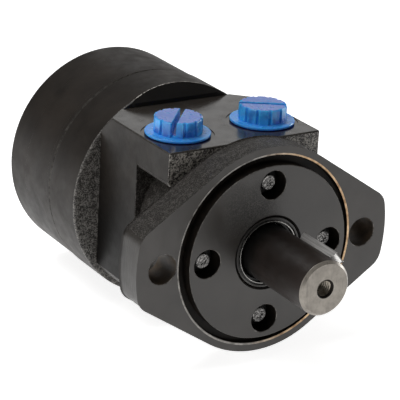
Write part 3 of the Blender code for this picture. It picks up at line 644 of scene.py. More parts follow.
def blue_plastic():
    """Translucent blue polyethylene, with painted light: a lit cyan rim, cyan rising up the walls, a
    hazy tone on up-facing tops.
    """
    s = Shading("blue_plastic", 0.26, Subsurface_Weight=0.60, Subsurface_Scale=3.0 * MM, IOR=1.5)
    s.shader.inputs["Subsurface Radius"].default_value = (0.08, 0.50, 1.0)
    # painted light: cyan rising with height, a lit rim band, and the tone of up-facing tops
    height = s.spread(s.axis("Z"), PORT_FACE, PORT_FACE + PLUG_TOP)
    rim = s.spread(s.axis("Z"), PORT_FACE + PLUG_RIM_TOP + 0.3 * MM, PORT_FACE + PLUG_RIM_TOP)
    up = s.node("ShaderNodeSeparateXYZ", Vector=s.node("ShaderNodeTexCoord").outputs["Normal"])
    top = s.spread(up.outputs["Z"], 0.80, 0.97)
    # patches of painted light across the facets
    facets = s.cloud(230, 1, 0.40, 0.60)
    deep = s.blend(facets, (0.025, 0.085, 0.460), (0.050, 0.380, 0.840))
    wall = s.blend(s.math("MULTIPLY", height, 0.6), deep, (0.080, 0.480, 0.860))
    lit = s.blend(rim, wall, (0.060, 0.330, 0.860))
    above_rim = s.math("MULTIPLY", top, s.math("SUBTRACT", 1.0, rim))
    s.colour(s.blend(above_rim, lit, (0.120, 0.225, 0.630)))
    s.rough(s.cloud(160, 2, 0.3, 0.7, 0.22, 0.34))
    s.bump([(s.noise(260, 2), 0.010 * MM)])
    return s.material


def pale_floor():
    """Plain, faintly glowing studio floor."""
    s = Shading("pale_floor", 0.9, Specular_IOR_Level=0.0, Emission_Color=(1.0, 1.0, 1.0, 1.0),
                Emission_Strength=FLOOR_GLOW)
    s.colour(s.blend(s.cloud(3, 3, 0.3, 0.7), (0.86, 0.86, 0.86), (0.90, 0.90, 0.90)))
    return s.material


MATERIALS = {
    "machined": painted_metal("machined", 0.34, MACHINED_LIGHT, MACHINED_DARK, 0.55),
    "port_face": painted_metal("port_face", 0.20, MACHINED_LIGHT, MACHINED_DARK, 0.45,
                               0.006 * MM, (1500, 25, 25), 0.003 * MM),
    # the band's paint, with the painted highlight and chips along the wall's upper edge (last argument)
    "turned": painted_metal("turned", 0.44, (0.022, 0.0175, 0.0142), (0.0105, 0.0082, 0.0066), 0.19,
                            0.016 * MM, (30, 1500, 30), 0.014 * MM, 0.8),
    "block_side": milled_side(),
    # the sloping wall: the same paint made darker, painted shade
    "wall": painted_metal("wall", 0.34, (0.010, 0.0085, 0.0075), (0.006, 0.005, 0.0045), 0.30),
    "milled": painted_metal("milled", 0.36, (0.030, 0.026, 0.022), (0.008, 0.007, 0.006), 0.45,
                            0.012 * MM, (1300, 1300, 35), 0.09 * MM),
    # cast: darker paint that stands in for the shade on the neck, with dimmer painted glints;
    # coarse_cast and block_front: stronger painted glints.
    "cast": rough_casting("cast", 1800, 0.16 * MM, 0.45, 0.68, gloss=0.26,
                          paint_light=(0.017, 0.0140, 0.0118)),
    "coarse_cast": rough_casting("coarse_cast", 1500, 0.24 * MM, 0.95, 0.645),
    "block_front": rough_casting("block_front", 1200, 0.34 * MM, 1.0, 0.635, (0.44, 0.415, 0.375), 0.6),
    "pilot": pilot_paint(),
    "groove_lip_highlight": groove_lip_highlight(),
    # Edge colours, part rubbed paint and part painted highlight: bright on chamfers, dim on the port
    # face's edges and the drum's front bevel, mid on the pilot's edge.
    "bare_lit_edge": bare_lit_edge("bare_lit_edge", (0.26, 0.24, 0.22)),
    "dull_edge": bare_lit_edge("dull_edge", (0.075, 0.069, 0.062)),
    "pilot_edge": bare_lit_edge("pilot_edge", (0.17, 0.16, 0.145)),
    # the key's front end: very light steel, partly the cut face's own brightness, partly a painted
    # highlight
    "lit_cut_steel": faced_steel("lit_cut_steel", (0.86, 0.85, 0.83), (0.66, 0.65, 0.63), 0.30, 0.7),
    "shaft_oxide": shaft_oxide(),
    "shaft_end": faced_steel("shaft_end", (0.30, 0.275, 0.24), (0.22, 0.20, 0.175), metallic=0.45),
    "seal_case": faced_steel("seal_case", (0.44, 0.43, 0.41), (0.20, 0.195, 0.19), 0.24, 0.9),
    "seal_band": faced_steel("seal_band", (0.050, 0.048, 0.045), (0.030, 0.028, 0.026), 0.36, 0.3),
    "thread": faced_steel("thread", (0.42, 0.38, 0.32), (0.16, 0.14, 0.11), 0.30, 0.9),
    "zinc": mottled_zinc(),
    "key_steel": key_steel(),
    "ground_steel": ground_steel(),
    "bolt_oxide": drifting("bolt_oxide", 0.36, 0.6, (420,), (0.020, 0.020, 0.021),
                           (0.060, 0.058, 0.056), 1800, 0.02 * MM, (900, 3, 0.3, 0.7, 0.30, 0.46)),
    "rubber": black_rubber(),
    # near-black for bores, grooves, counterbore walls and hidden faces: painted shade
    "shaded_bore": drifting("shaded_bore", 0.55, 0.0, (240,), (0.0030, 0.0024, 0.0020),
                          (0.0120, 0.0085, 0.0060), 1400, 0.03 * MM, gloss=0.15),
    "mount_bore": drifting("mount_bore", 0.55, 0.0, (240,), (0.030, 0.023, 0.017),
                           (0.080, 0.056, 0.036), 1400, 0.03 * MM, gloss=0.40),
    "bare_iron": drifting("bare_iron", 0.36, 0.8, (180, 5), (0.13, 0.125, 0.12),
                          (0.24, 0.235, 0.225), 1700, 0.02 * MM),
    "blue_plastic": blue_plastic(),
}


# ---------------------------------------------------------------- flange

def flange_outline():
    """Two round ear ends joined by straight flanks that touch a round waist."""
    end_angle = FLANK_ANGLE - math.acos(WAIST_RADIUS / EAR_RADIUS)
    trim = EAR_CORNER / EAR_RADIUS
    corner = Vector(arc(EAR_RADIUS, end_angle, end_angle, 1)[0])
    waist = Vector(arc(WAIST_RADIUS, FLANK_ANGLE, FLANK_ANGLE, 1)[0])
    flank = (waist - corner).normalized()
    start = corner + flank * EAR_CORNER
    ear = arc(EAR_RADIUS, 0, end_angle - trim, 24)
    ear_end = Vector(ear[-1])
    steps = 10
    turn = []
    for k in range(1, steps):
        t = k / steps
        turn.append(tuple(ear_end * (1 - t) ** 2 + corner * 2 * t * (1 - t) + start * t ** 2))
    straight = [tuple(start + (waist - start) * k / 6) for k in range(6)]
    quarter = ear + turn + straight + arc(WAIST_RADIUS, FLANK_ANGLE, UP, 30)
    half = quarter + [(-x, z) for x, z in reversed(quarter[:-1])]
    return half + [(x, -z) for x, z in reversed(half[1:-1])]


def hole_cutter(x, z, radius, front, rear, chamfer, flare_front=True, flare_rear=True):
    """Cutter for a hole along Y whose mouths are chamfered."""
    past = 3 * MM
    profile = [(front - past, 0)]
    if flare_front:
        profile += [(front - past, radius + chamfer + past), (front + chamfer, radius)]
    else:
        profile += [(front - past, radius)]
    if flare_rear:
        profile += [(rear - chamfer, radius), (rear + past, radius + chamfer + past)]
    else:
        profile += [(rear + past, radius)]
    return lathe(profile + [(rear + past, 0)], MEDIUM, (x, 0, z))


def build_flange():
    """Flange with a rounded pilot, relief groove, counterbores and bolt holes."""
    chamfer = 0.5 * MM
    flange = make("flange_body", edge_levels(0, FLANGE_REAR, flange_outline(), chamfer))
    past = PILOT_FRONT - 3 * MM
    lip = 0.9 * MM
    combine(flange, lathe([(-1 * MM, 0), (-1 * MM, GROOVE_RADIUS + 4.3 * lip),
                           (lip * 0.3, GROOVE_RADIUS), (GROOVE_FLOOR - 0.4 * MM, GROOVE_RADIUS),
                           (GROOVE_FLOOR, GROOVE_RADIUS - 0.4 * MM), (GROOVE_FLOOR, 0)], FINE))
    pilot = rounded([(PILOT_FRONT, 0), (PILOT_FRONT, PILOT_RADIUS, 0.35 * MM),
                     (GROOVE_FLOOR - 0.1 * MM, PILOT_RADIUS, 0), (6 * MM, PILOT_RADIUS - 1 * MM, 0),
                     (6 * MM, 0)], closed=False)
    combine(flange, lathe(pilot, FINE), "UNION")
    bore = [(past, 0), (past, SEAL_BORE_RADIUS + 3.7 * MM), (PILOT_FRONT + 0.8 * MM, SEAL_BORE_RADIUS),
            (SEAL_BORE_END, SEAL_BORE_RADIUS), (SEAL_BORE_END, SEAL_WEB_RADIUS),
            (BEARING_RECESS_START, SEAL_WEB_RADIUS), (BEARING_RECESS_START, BEARING_RECESS_RADIUS),
            (FLANGE_REAR + 3 * MM, BEARING_RECESS_RADIUS), (FLANGE_REAR + 3 * MM, 0)]
    combine(flange, lathe(bore, MEDIUM))
    cutters = [hole_cutter(side * MOUNT_HOLE_OFFSET, 0, MOUNT_HOLE_RADIUS, 0, FLANGE_REAR, 0.3 * MM,
                           flare_rear=False) for side in (-1, 1)]
    for x, z in around(SCREW_COUNT, SCREW_CIRCLE):
        cutters.append(lathe([(past, 0), (past, COUNTERBORE_RADIUS + 3.25 * MM),
                              (PILOT_FRONT + 0.25 * MM, COUNTERBORE_RADIUS),
                              (COUNTERBORE_FLOOR, COUNTERBORE_RADIUS),
                              (COUNTERBORE_FLOOR, SCREW_HOLE_RADIUS),
                              (FLANGE_REAR + 3 * MM, SCREW_HOLE_RADIUS),
                              (FLANGE_REAR + 3 * MM, 0)], MEDIUM, (x, 0, z)))
    combine(flange, gather(cutters))

    def choose(centre, normal):
        distance = math.hypot(centre.x, centre.z)
        facing = abs(normal.y)
        if facing > 0.99 and min(abs(centre.y), abs(centre.y - FLANGE_REAR)) < 0.01 * MM:
            return "machined"
        # the seal bore and its chamfer: painted shade
        if distance < SEAL_BORE_RADIUS + 0.9 * MM:
            return "shaded_bore"
        near_screw = any(math.hypot(centre.x - x, centre.z - z) < COUNTERBORE_RADIUS + 0.3 * MM
                         for x, z in around(SCREW_COUNT, SCREW_CIRCLE))
        near_mount = abs(math.hypot(abs(centre.x) - MOUNT_HOLE_OFFSET, centre.z)
                         - MOUNT_HOLE_RADIUS) < 0.4 * MM
        # Counterbore and mount-hole chamfers take the lit edge colour, a painted highlight; counterbore
        # walls take painted shade.
        if near_screw and (centre.y > PILOT_FRONT + 0.01 * MM):
            return "bare_lit_edge" if 0.3 < facing < 0.9 else "shaded_bore"
        if near_mount and facing < 0.9:
            return "bare_lit_edge" if facing > 0.3 else "mount_bore"
        if centre.y < PILOT_FRONT + 0.02 * MM:
            return "pilot"
        # the pilot's side wall and the groove floor: painted shade
        if distance < PILOT_RADIUS + 0.05 * MM and centre.y < 0:
            return "pilot_edge" if facing > 0.15 else "shaded_bore"
        if distance < GROOVE_RADIUS + 0.02 * MM and centre.y < GROOVE_FLOOR + 0.1 * MM:
            return "shaded_bore"
        if distance < GROOVE_RADIUS + 1.4 * MM and 0.3 < facing < 0.99 and centre.y < 1 * MM:
            return "groove_lip_highlight"
        if facing > 0.97:
            return "machined"
        if centre.y < chamfer:
            return "bare_lit_edge"
        return "milled" if distance > EAR_RADIUS - 1.2 * MM else "cast"

    finish_piece(flange, "casing", ["mounting_flange"],
                 ["machined", "pilot", "shaded_bore", "groove_lip_highlight", "bare_lit_edge", "pilot_edge",
                  "mount_bore", "milled", "cast"], choose)


def build_screws():
    """Plated screws: washer flange, drive boss with a small star recess, plain shank."""
    lo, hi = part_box("flange_screw_1")
    seat = COUNTERBORE_FLOOR - 0.3 * MM
    profile = rounded([(lo.y, 0), (lo.y, 3.55 * MM, 0.5 * MM), (seat - 2.5 * MM, 3.6 * MM, 0.3 * MM),
                       (seat - 2.3 * MM, 6.25 * MM, 0.5 * MM), (seat, 6.25 * MM, 0.3 * MM),
                       (seat, 3.9 * MM, 0.1 * MM), (hi.y, 3.9 * MM, 0.6 * MM), (hi.y, 0)],
                      closed=False)
    for number, (x, z) in enumerate(around(SCREW_COUNT, SCREW_CIRCLE), 1):
        screw = make(f"screw_{number}", lathe(profile, SMALL, (x, 0, z)))
        star = []
        for k in range(48):
            turn = 2 * math.pi * k / 48 + number
            reach = (1.65 + 0.38 * math.cos(6 * turn)) * MM
            star.append((x + reach * math.cos(turn), z + reach * math.sin(turn)))
        combine(screw, loft([(lo.y - 1 * MM, star), (lo.y + 0.5 * MM, star)]))

        def choose(centre, normal):
            return "zinc" if centre.y < lo.y + 1.6 * MM else "bolt_oxide"

        finish_piece(screw, "casing", [f"flange_screw_{number}"],
                     ["zinc", "bolt_oxide"], choose)


def build_seals():
    """Dust seal with its grey case and thin bright lip ring, and the lip seal behind it."""
    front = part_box("dust_seal")[0].y
    outer = 16.7 * MM
    gap = 1.1 * MM
    dust = rounded([(front, 14.5 * MM, 0.1 * MM), (front, 14.85 * MM, 0.1 * MM),
                    (front + gap, 14.95 * MM, 0.1 * MM), (front + gap, 15.55 * MM, 0.1 * MM),
                    (front + 0.15 * MM, 15.65 * MM, 0.2 * MM), (front, 16.5 * MM, 0.2 * MM),
                    (front + 0.5 * MM, outer, 0.1 * MM), (0.4 * MM, outer, 0.1 * MM),
                    (0.4 * MM, 13.5 * MM, 0.1 * MM), (-0.3 * MM, 13.5 * MM, 0.1 * MM),
                    (-0.5 * MM, 14.4 * MM, 0.1 * MM)])

    def choose(centre, normal):
        distance = math.hypot(centre.x, centre.z)
        if centre.y < front + 0.6 * MM and distance < 14.95 * MM:
            return "seal_case"
        return "seal_band" if centre.y < front + 0.8 * MM and distance > 15.5 * MM else "rubber"

    finish_piece(make("dust_seal_ring", lathe(dust, FINE)), "casing", ["dust_seal"],
                 ["rubber", "seal_band", "seal_case"], choose)
    lip = rounded([(0.8 * MM, 15.0 * MM), (0.8 * MM, outer), (5.0 * MM, outer), (5.0 * MM, 15.0 * MM),
                   (3.4 * MM, 13.1 * MM, 0.2 * MM), (2.6 * MM, 13.1 * MM, 0.2 * MM)])
    finish_piece(make("shaft_seal_ring", lathe(lip, MEDIUM)), "casing",
                 ["shaft_seal"], ["rubber"])


# ---------------------------------------------------------------- shaft and key

def key_block(margin, edge):
    """Woodruff key as a solid on the shaft at its angle, grown by a margin."""
    radius = KEY_DISC_RADIUS + margin
    centre = KEY_TOP - KEY_HEIGHT + KEY_DISC_RADIUS
    half = math.asin((KEY_TOP + margin - centre) / radius)
    turns = [math.pi - half + (math.pi + 2 * half) * k / 48 for k in range(49)]
    outline = [(centre + radius * math.sin(t), KEY_CENTRE + radius * math.cos(t)) for t in turns]
    outline.reverse()
    area = sum(a[0] * b[1] - b[0] * a[1] for a, b in zip(outline, outline[1:] + outline[:1]))
    if area < 0:
        outline.reverse()
    width = KEY_WIDTH / 2 + margin
    if edge:
        bm = edge_levels(-width, width, outline, edge, upright=True)
    else:
        bm = loft([(-width, outline), (width, outline)], upright=True)
    bmesh.ops.rotate(bm, verts=bm.verts, matrix=Matrix.Rotation(-KEY_ANGLE, 3, "Y"))
    return bm


def threaded_bore(mouth, depth, radius, pitch, chamfer, direction=1):
    """Half outline of a tapped hole: (height, radius) points from the mouth to the drill point."""
    crest = 0.30 * pitch
    past = 2 * MM
    profile = [(mouth - direction * past, 0), (mouth - direction * past, radius + chamfer + past),
               (mouth + direction * chamfer, radius)]
    for k in range(int((depth - 2 * chamfer) / pitch)):
        start = chamfer + k * pitch
        profile += [(mouth + direction * (start + 0.15 * pitch), radius),
                    (mouth + direction * (start + 0.50 * pitch), radius + 2 * crest),
                    (mouth + direction * (start + 0.85 * pitch), radius)]
    profile += [(mouth + direction * depth, radius), (mouth + direction * (depth + 0.5 * radius), 0)]
    return profile


def gallery_steps(radius, gallery):
    """(y, radius) corners where a bore or spool steps to each gallery's radius and back."""
    points = []
    for middle in GALLERIES:
        front, rear = middle - GALLERY_HALF, middle + GALLERY_HALF
        points += [(front, radius), (front, gallery), (rear, gallery), (rear, radius)]
    return points


def build_shaft():
    """Shaft with chamfers, a tapped end, the key's seat and the spool behind the shoulder."""
    profile = rounded([(SHAFT_TIP, 0), (SHAFT_TIP, SHAFT_RADIUS - TIP_CHAMFER, 0.1 * MM),
                       (SHAFT_TIP + TIP_CHAMFER, SHAFT_RADIUS, 0.3 * MM),
                       (SHOULDER, SHAFT_RADIUS, 0.2 * MM), (SHOULDER, SPOOL_RADIUS, 0.4 * MM),
                       *gallery_steps(SPOOL_RADIUS, SPOOL_GROOVE),
                       (SPOOL_END, SPOOL_RADIUS, 0.4 * MM), (SPOOL_END, 0)], 0.15 * MM, closed=False)
    shaft = make("keyed_shaft", lathe(profile, MEDIUM))
    combine(shaft, lathe(threaded_bore(SHAFT_TIP, 16.5 * MM, 3.5 * MM, 1.25 * MM, 0.9 * MM), SMALL))
    combine(shaft, key_block(0.12 * MM, 0))
    hollow = [(54 * MM, 0), (52 * MM, SPLINE_RELIEF), (70 * MM, SPLINE_RELIEF), (70 * MM, SPLINE_BORE),
              (SPOOL_END + 2 * MM, SPLINE_BORE), (SPOOL_END + 2 * MM, 0)]
    combine(shaft, lathe(hollow, MEDIUM))

    def choose(centre, normal):
        distance = math.hypot(centre.x, centre.z)
        if centre.y < SHAFT_TIP + 1.5 * MM and distance > 4.5 * MM:
            return "shaft_end"
        if centre.y < SHAFT_TIP + 20 * MM and distance < 5 * MM:
            # the tapped hole's mouth chamfer: painted shade
            return "thread" if distance < 4 * MM or centre.y > SHAFT_TIP + 1 * MM else "shaded_bore"
        if centre.y > SHOULDER - 0.1 * MM:
            return "ground_steel"
        return "shaft_oxide"

    finish_piece(shaft, "shaft", ["output_shaft"],
                 ["shaft_oxide", "shaft_end", "thread", "shaded_bore", "ground_steel"], choose)
    key = make("woodruff_key", key_block(0, 0.35 * MM))

    def choose_key(centre, normal):
        # the key's front end faces take the painted highlight
        return "lit_cut_steel" if normal.y < -0.35 and centre.y < KEY_CENTRE - 9 * MM else "key_steel"

    finish_piece(key, "shaft", ["shaft_key"], ["key_steel", "lit_cut_steel"], choose_key)


# ---------------------------------------------------------------- housing

def body_outline(belly):
    """Anticlockwise (x, z) outline of the belly, or of the block over it, with matching points.

    Each point is (x, z, share): the share of the front edge's rounding that it takes.
    """
    low = math.asin(math.sqrt(BELLY_RADIUS ** 2 - BLOCK_HALF_WIDTH ** 2) / BELLY_RADIUS)
    lower = arc(BELLY_RADIUS, math.pi + low, 2 * math.pi - low, 60)
    side_steps = 8
    fall = [(BLOCK_UNDERSIDE + BLOCK_FILLET - lower[0][1]) * k / side_steps for k in range(side_steps)]
    left = [(-BLOCK_HALF_WIDTH, BLOCK_UNDERSIDE + BLOCK_FILLET - drop) for drop in fall]
    right = [(-x, z) for x, z in reversed(left)]
    crown = rounded([right[-1] + (0,), (BLOCK_HALF_WIDTH, PORT_FACE, BLOCK_CORNER),
                     (-BLOCK_HALF_WIDTH, PORT_FACE, BLOCK_CORNER), left[0] + (0,)], closed=False)
    if not belly:
        count = len(left) + len(lower) + len(right)
        path = []
        for k in range(count):
            t = k / (count - 1)
            x = -BLOCK_HALF_WIDTH + 2 * BLOCK_HALF_WIDTH * t
            short = max(0, BLOCK_FILLET - (BLOCK_HALF_WIDTH - abs(x)))
            rise = BLOCK_FILLET - math.sqrt(max(BLOCK_FILLET ** 2 - short ** 2, 0))
            path.append((x, BLOCK_UNDERSIDE + rise, 1.0))
        return path + [(x, z, 1.0) for x, z in crown[1:-1]]
    path = [(x, z, min(1.0, 0.5 * k)) for k, (x, z) in enumerate(left)]
    path += [(x, z, 1.0) for x, z in lower]
    path += [(-x, z, share) for x, z, share in reversed(path[:len(left)])]
    return path + [(x, z, 0.0) for x, z in crown[1:-1]]


def build_body():
    """Port block and belly as one closed solid, with rounded cast edges in front."""
    steps = 3
    sections = []
    for front, outline in ((BLOCK_FRONT, body_outline(False)), (BELLY_FRONT, body_outline(True))):
        plain = [(x, z) for x, z, share in outline]
        for k in range(steps + 1):
            turn = UP * k / steps
            moved = inset(plain, CAST_EDGE * (1 - math.sin(turn)))
            ring = [(x + (mx - x) * share, z + (mz - z) * share)
                    for (x, z, share), (mx, mz) in zip(outline, moved)]
            sections.append((front + CAST_EDGE * (1 - math.cos(turn)), ring))
        if front == BLOCK_FRONT:
            sections.append((BELLY_FRONT, plain))
    sections.append((BAND_FRONT + 0.3 * MM, plain))
    bm = loft(sections)
    bmesh.ops.remove_doubles(bm, verts=bm.verts, dist=1e-6)
    bmesh.ops.dissolve_degenerate(bm, edges=bm.edges, dist=1e-6)
    bmesh.ops.recalc_face_normals(bm, faces=bm.faces)
    return bm


def wall_cutter():
    """Space above the port face, ahead of the sloping wall, with a rounded foot."""
    rise = BAND_RADIUS + 4 * MM - PORT_FACE
    ahead = WALL_FOOT - 12 * MM
    outline = rounded([(ahead, PORT_FACE, 0), (WALL_FOOT, PORT_FACE, 2.2 * MM),
                       (WALL_FOOT + WALL_SLOPE * rise, PORT_FACE + rise, 0),
                       (ahead, PORT_FACE + rise, 0)], steps=8)
    bm = bmesh.new()
    sides = [[bm.verts.new((x, y, z)) for y, z in outline] for x in (-60 * MM, 60 * MM)]
    count = len(outline)
    for k in range(count):
        n = (k + 1) % count
        bm.faces.new((sides[0][k], sides[0][n], sides[1][n], sides[1][k]))
    bm.faces.new(sides[0])
    bm.faces.new(sides[1])
    bmesh.ops.recalc_face_normals(bm, faces=bm.faces)
    return bm


def casting_lump(centre, size, seed):
    """Small uneven lump left by the mould on a cast face."""
    bm = bmesh.new()
    bmesh.ops.create_icosphere(bm, subdivisions=4, radius=1)
    for vert in bm.verts:
        wave = math.sin(vert.co.x * 5 + seed) + math.sin(vert.co.z * 6 + seed * 2)
        vert.co *= 1 + 0.07 * wave
        vert.co = Vector((vert.co.x * size[0], vert.co.y * size[1], vert.co.z * size[2]))
    bmesh.ops.rotate(bm, verts=bm.verts, matrix=Matrix.Rotation(0.35, 3, "Y"))
    bmesh.ops.translate(bm, verts=bm.verts, vec=centre)
    return bm


def build_housing():
    """Cast housing with rounded cast edges, crisp machined faces, ports and bores."""
    groove_in = FACE_SEAL_RADIUS - FACE_SEAL_GROOVE
    groove_out = FACE_SEAL_RADIUS + FACE_SEAL_GROOVE
    floor = HOUSING_REAR - FACE_SEAL_DEPTH
    profile = rounded([(HOUSING_FRONT, 0), (HOUSING_FRONT, NECK_RADIUS, 0.6 * MM),
                       (BAND_FRONT, NECK_RADIUS, 0), (BAND_FRONT, BAND_RADIUS, 1.1 * MM),
                       (BAND_REAR, BAND_RADIUS, 0.5 * MM), (BAND_REAR, BAND_STEP, 0.2 * MM),
                       (HOUSING_REAR, BAND_STEP, 0.2 * MM), (HOUSING_REAR, groove_out, 0),
                       (floor, groove_out, 0), (floor, groove_in, 0), (HOUSING_REAR, groove_in, 0),
                       (HOUSING_REAR, 0)], closed=False)
    housing = make("housing_body", lathe(profile, FINE))
    combine(housing, build_body(), "UNION")
    combine(housing, wall_cutter())
    outside = BAND_RADIUS + 12 * MM
    combine(housing, lathe([RELIEF_START, RELIEF_END, (RELIEF_END[0], outside),
                            (RELIEF_START[0], outside)], FINE))
    lump = casting_lump((31 * MM, BLOCK_FRONT + 0.2 * MM, 37 * MM), (3.4 * MM, 1.0 * MM, 1.7 * MM), 1)
    combine(housing, lump, "UNION")
    front, rear = HOUSING_FRONT - 2 * MM, HOUSING_REAR + 2 * MM
    bore = [(front, 0), (front, SPOOL_BORE_RADIUS), *gallery_steps(SPOOL_BORE_RADIUS, GALLERY_RADIUS),
            (rear, SPOOL_BORE_RADIUS), (rear, 0)]
    combine(housing, lathe(bore, MEDIUM))
    spot_floor = PORT_FACE - SPOTFACE_DEPTH
    spot = [(spot_floor, 0), (spot_floor, SPOTFACE_RADIUS),
            (PORT_FACE + 1 * MM, SPOTFACE_RADIUS + 0.15 * MM), (PORT_FACE + 1 * MM, 0)]
    port = threaded_bore(spot_floor, PORT_DEPTH, PORT_RADIUS - 0.5 * MM, 1.8 * MM, 1.0 * MM, -1)
    centres = [(side * PORT_OFFSET, PORT_CENTRE, 0) for side in (-1, 1)]
    for outline in (spot, port):
        combine(housing, gather([lathe(outline, MEDIUM, centre, upright=True) for centre in centres]))
    holes = [hole_cutter(x, z, SCREW_HOLE_RADIUS, HOUSING_FRONT, SCREW_HOLE_END - 3 * MM, 0.3 * MM,
                         flare_rear=False) for x, z in around(SCREW_COUNT, SCREW_CIRCLE)]
    holes += [hole_cutter(x, z, BOLT_HOLE_RADIUS, BOLT_HOLE_END + 3 * MM, HOUSING_REAR, 0.3 * MM,
                          flare_front=False) for x, z in around(RING_LOBES, BOLT_CIRCLE)]
    combine(housing, gather(holes))

    def choose(centre, normal):
        distance = math.hypot(centre.x, centre.z)
        above_port = PORT_FACE - 14 * MM < centre.z < PORT_FACE - 0.05 * MM
        in_port = any(math.hypot(centre.x - side * PORT_OFFSET, centre.y - PORT_CENTRE)
                      < PORT_RADIUS + 1.2 * MM for side in (-1, 1))
        if (in_port and above_port) or distance < GALLERY_RADIUS + 0.1 * MM:
            return "bare_iron"
        # the band's rear step and rear face: painted shade
        if centre.y > BAND_REAR - 0.1 * MM:
            return "shaded_bore"
        if centre.z > PORT_FACE - 0.5 * MM and normal.z > 0.97 and centre.y < WALL_FOOT + 1 * MM:
            return "port_face"
        # The port face's edge chamfers: a dim painted highlight over rubbed paint.
        if centre.z > PORT_FACE - 0.8 * MM and centre.y < WALL_FOOT and 0.2 < normal.z <= 0.97:
            return "dull_edge"
        if centre.y > BAND_FRONT - 3 * MM and centre.z > PORT_FACE - 0.1 * MM and normal.y < -0.3:
            return "wall" if distance < BAND_RADIUS - 0.1 * MM else "turned"
        on_relief = distance > BAND_RADIUS and normal.y > 0.3
        on_band = centre.y > BAND_FRONT + 0.9 * MM and distance > BAND_RADIUS - 1 * MM
        if on_relief or on_band:
            return "turned"
        if centre.y > BAND_FRONT - 0.5 * MM and distance > NECK_RADIUS:
            return "coarse_cast"
        if abs(normal.x) > 0.9 and abs(centre.x) > BLOCK_HALF_WIDTH - 0.3 * MM:
            return "block_side"
        if centre.y < BLOCK_FRONT + 1.2 * MM and centre.z > BLOCK_UNDERSIDE - 1 * MM:
            return "block_front"
        return "cast"

    finish_piece(housing, "casing", ["housing"],
                 ["cast", "coarse_cast", "block_front", "turned", "block_side", "wall", "port_face",
                  "dull_edge", "bare_iron", "shaded_bore"], choose)


# ---------------------------------------------------------------- plugs

def knob_outline(radius):
    """Twelve flat facets with a shallow notch between neighbours, anticlockwise."""
    points = []
    pitch = 2 * math.pi / PLUG_FACETS
    for k in range(PLUG_FACETS):
        middle = k * pitch
        for share in (-0.5, -0.46, -0.36, -0.2, 0.0, 0.2, 0.36, 0.46):
            turn = share * pitch
            flat = radius * math.cos(pitch / 2) / math.cos(turn)
            notch = 1.15 * MM if abs(share) > 0.45 else (0.05 * MM if abs(share) > 0.3 else 0.0)
            reach = flat - notch
            points.append((reach * math.cos(middle + turn), reach * math.sin(middle + turn)))
    return points


def build_plugs():
    """Translucent plugs: ribbed stub, thin dished rim, notched knob with a deep slot."""
    for side, label in ((-1, "left"), (1, "right")):
        centre = (side * PORT_OFFSET, PORT_CENTRE, PORT_FACE)
        stub = PLUG_STUB_RADIUS
        profile = [(PLUG_BOTTOM, 0), (PLUG_BOTTOM, stub - 0.6 * MM, 0.4 * MM),
                   (PLUG_BOTTOM + 1.2 * MM, stub, 0.2 * MM)]
        for k in range(3):
            rib = PLUG_BOTTOM + (2.2 + 2.4 * k) * MM
            profile += [(rib, stub, 0.05 * MM), (rib + 0.9 * MM, stub + 0.30 * MM, 0.1 * MM),
                        (rib + 1.1 * MM, stub, 0.05 * MM)]
        profile += [(PLUG_SEAT, stub, 0.1 * MM), (PLUG_SEAT, PLUG_RIM_RADIUS, 0.35 * MM),
                    (PLUG_RIM_TOP - 0.15 * MM, PLUG_RIM_RADIUS, 0.45 * MM),
                    (PLUG_RIM_TOP - 0.35 * MM, PLUG_KNOB_RADIUS + 1.2 * MM, 0.4 * MM),
                    (PLUG_RIM_TOP, PLUG_KNOB_RADIUS - 1.5 * MM, 0.1 * MM), (PLUG_RIM_TOP, 0)]
        plug = make(f"plug_{label}", lathe(rounded(profile, closed=False), MEDIUM, upright=True))
        outline = knob_outline(PLUG_KNOB_RADIUS)
        top = PLUG_TOP
        knob = loft([(PLUG_SEAT + 0.4 * MM, outline), (PLUG_RIM_TOP, outline),
                     (top - 0.7 * MM, inset(outline, 0.12 * MM)),
                     (top - 0.35 * MM, inset(outline, 0.25 * MM)),
                     (top - 0.08 * MM, inset(outline, 0.5 * MM)), (top, inset(outline, 0.85 * MM))],
                    upright=True)
        combine(plug, knob, "UNION")
        half = PLUG_SLOT_WIDTH / 2
        mouth = 0.25 * MM
        section = [(-half, PLUG_SLOT_FLOOR), (half, PLUG_SLOT_FLOOR), (half + 0.1 * MM, top - mouth),
                   (half + mouth + 0.1 * MM + 1 * MM, top + 1 * MM),
                   (-half - mouth - 0.1 * MM - 1 * MM, top + 1 * MM), (-half - 0.1 * MM, top - mouth)]
        slot = loft([(-20 * MM, section), (20 * MM, section)])
        turn = Matrix.Rotation(PLUG_SLOT_ANGLES[label] - UP, 3, "Z")
        bmesh.ops.rotate(slot, verts=slot.verts, matrix=turn)
        combine(plug, slot)
        marks = []
        for x, y, size in ((-5.2, 2.6, 1.0), (5.4, -2.4, 0.8), (5.0, 3.4, 0.5)):
            spot = Vector((x * MM, y * MM, 0))
            spot.rotate(turn)
            height = top - 0.3 * MM
            ring = rounded([(height, 0), (height, size * MM), (top + 0.10 * MM, size * MM * 0.8),
                            (top + 0.10 * MM, size * MM * 0.45), (top + 0.02 * MM, 0)], 0.08 * MM,
                           closed=False)
            marks.append(lathe(ring, 24, spot, upright=True))
        combine(plug, gather(marks), "UNION")
        plug.data.transform(Matrix.Translation(centre))
        finish_piece(plug, f"plug_{label}", [f"port_plug_{label}"], ["blue_plastic"])


# ---------------------------------------------------------------- drum

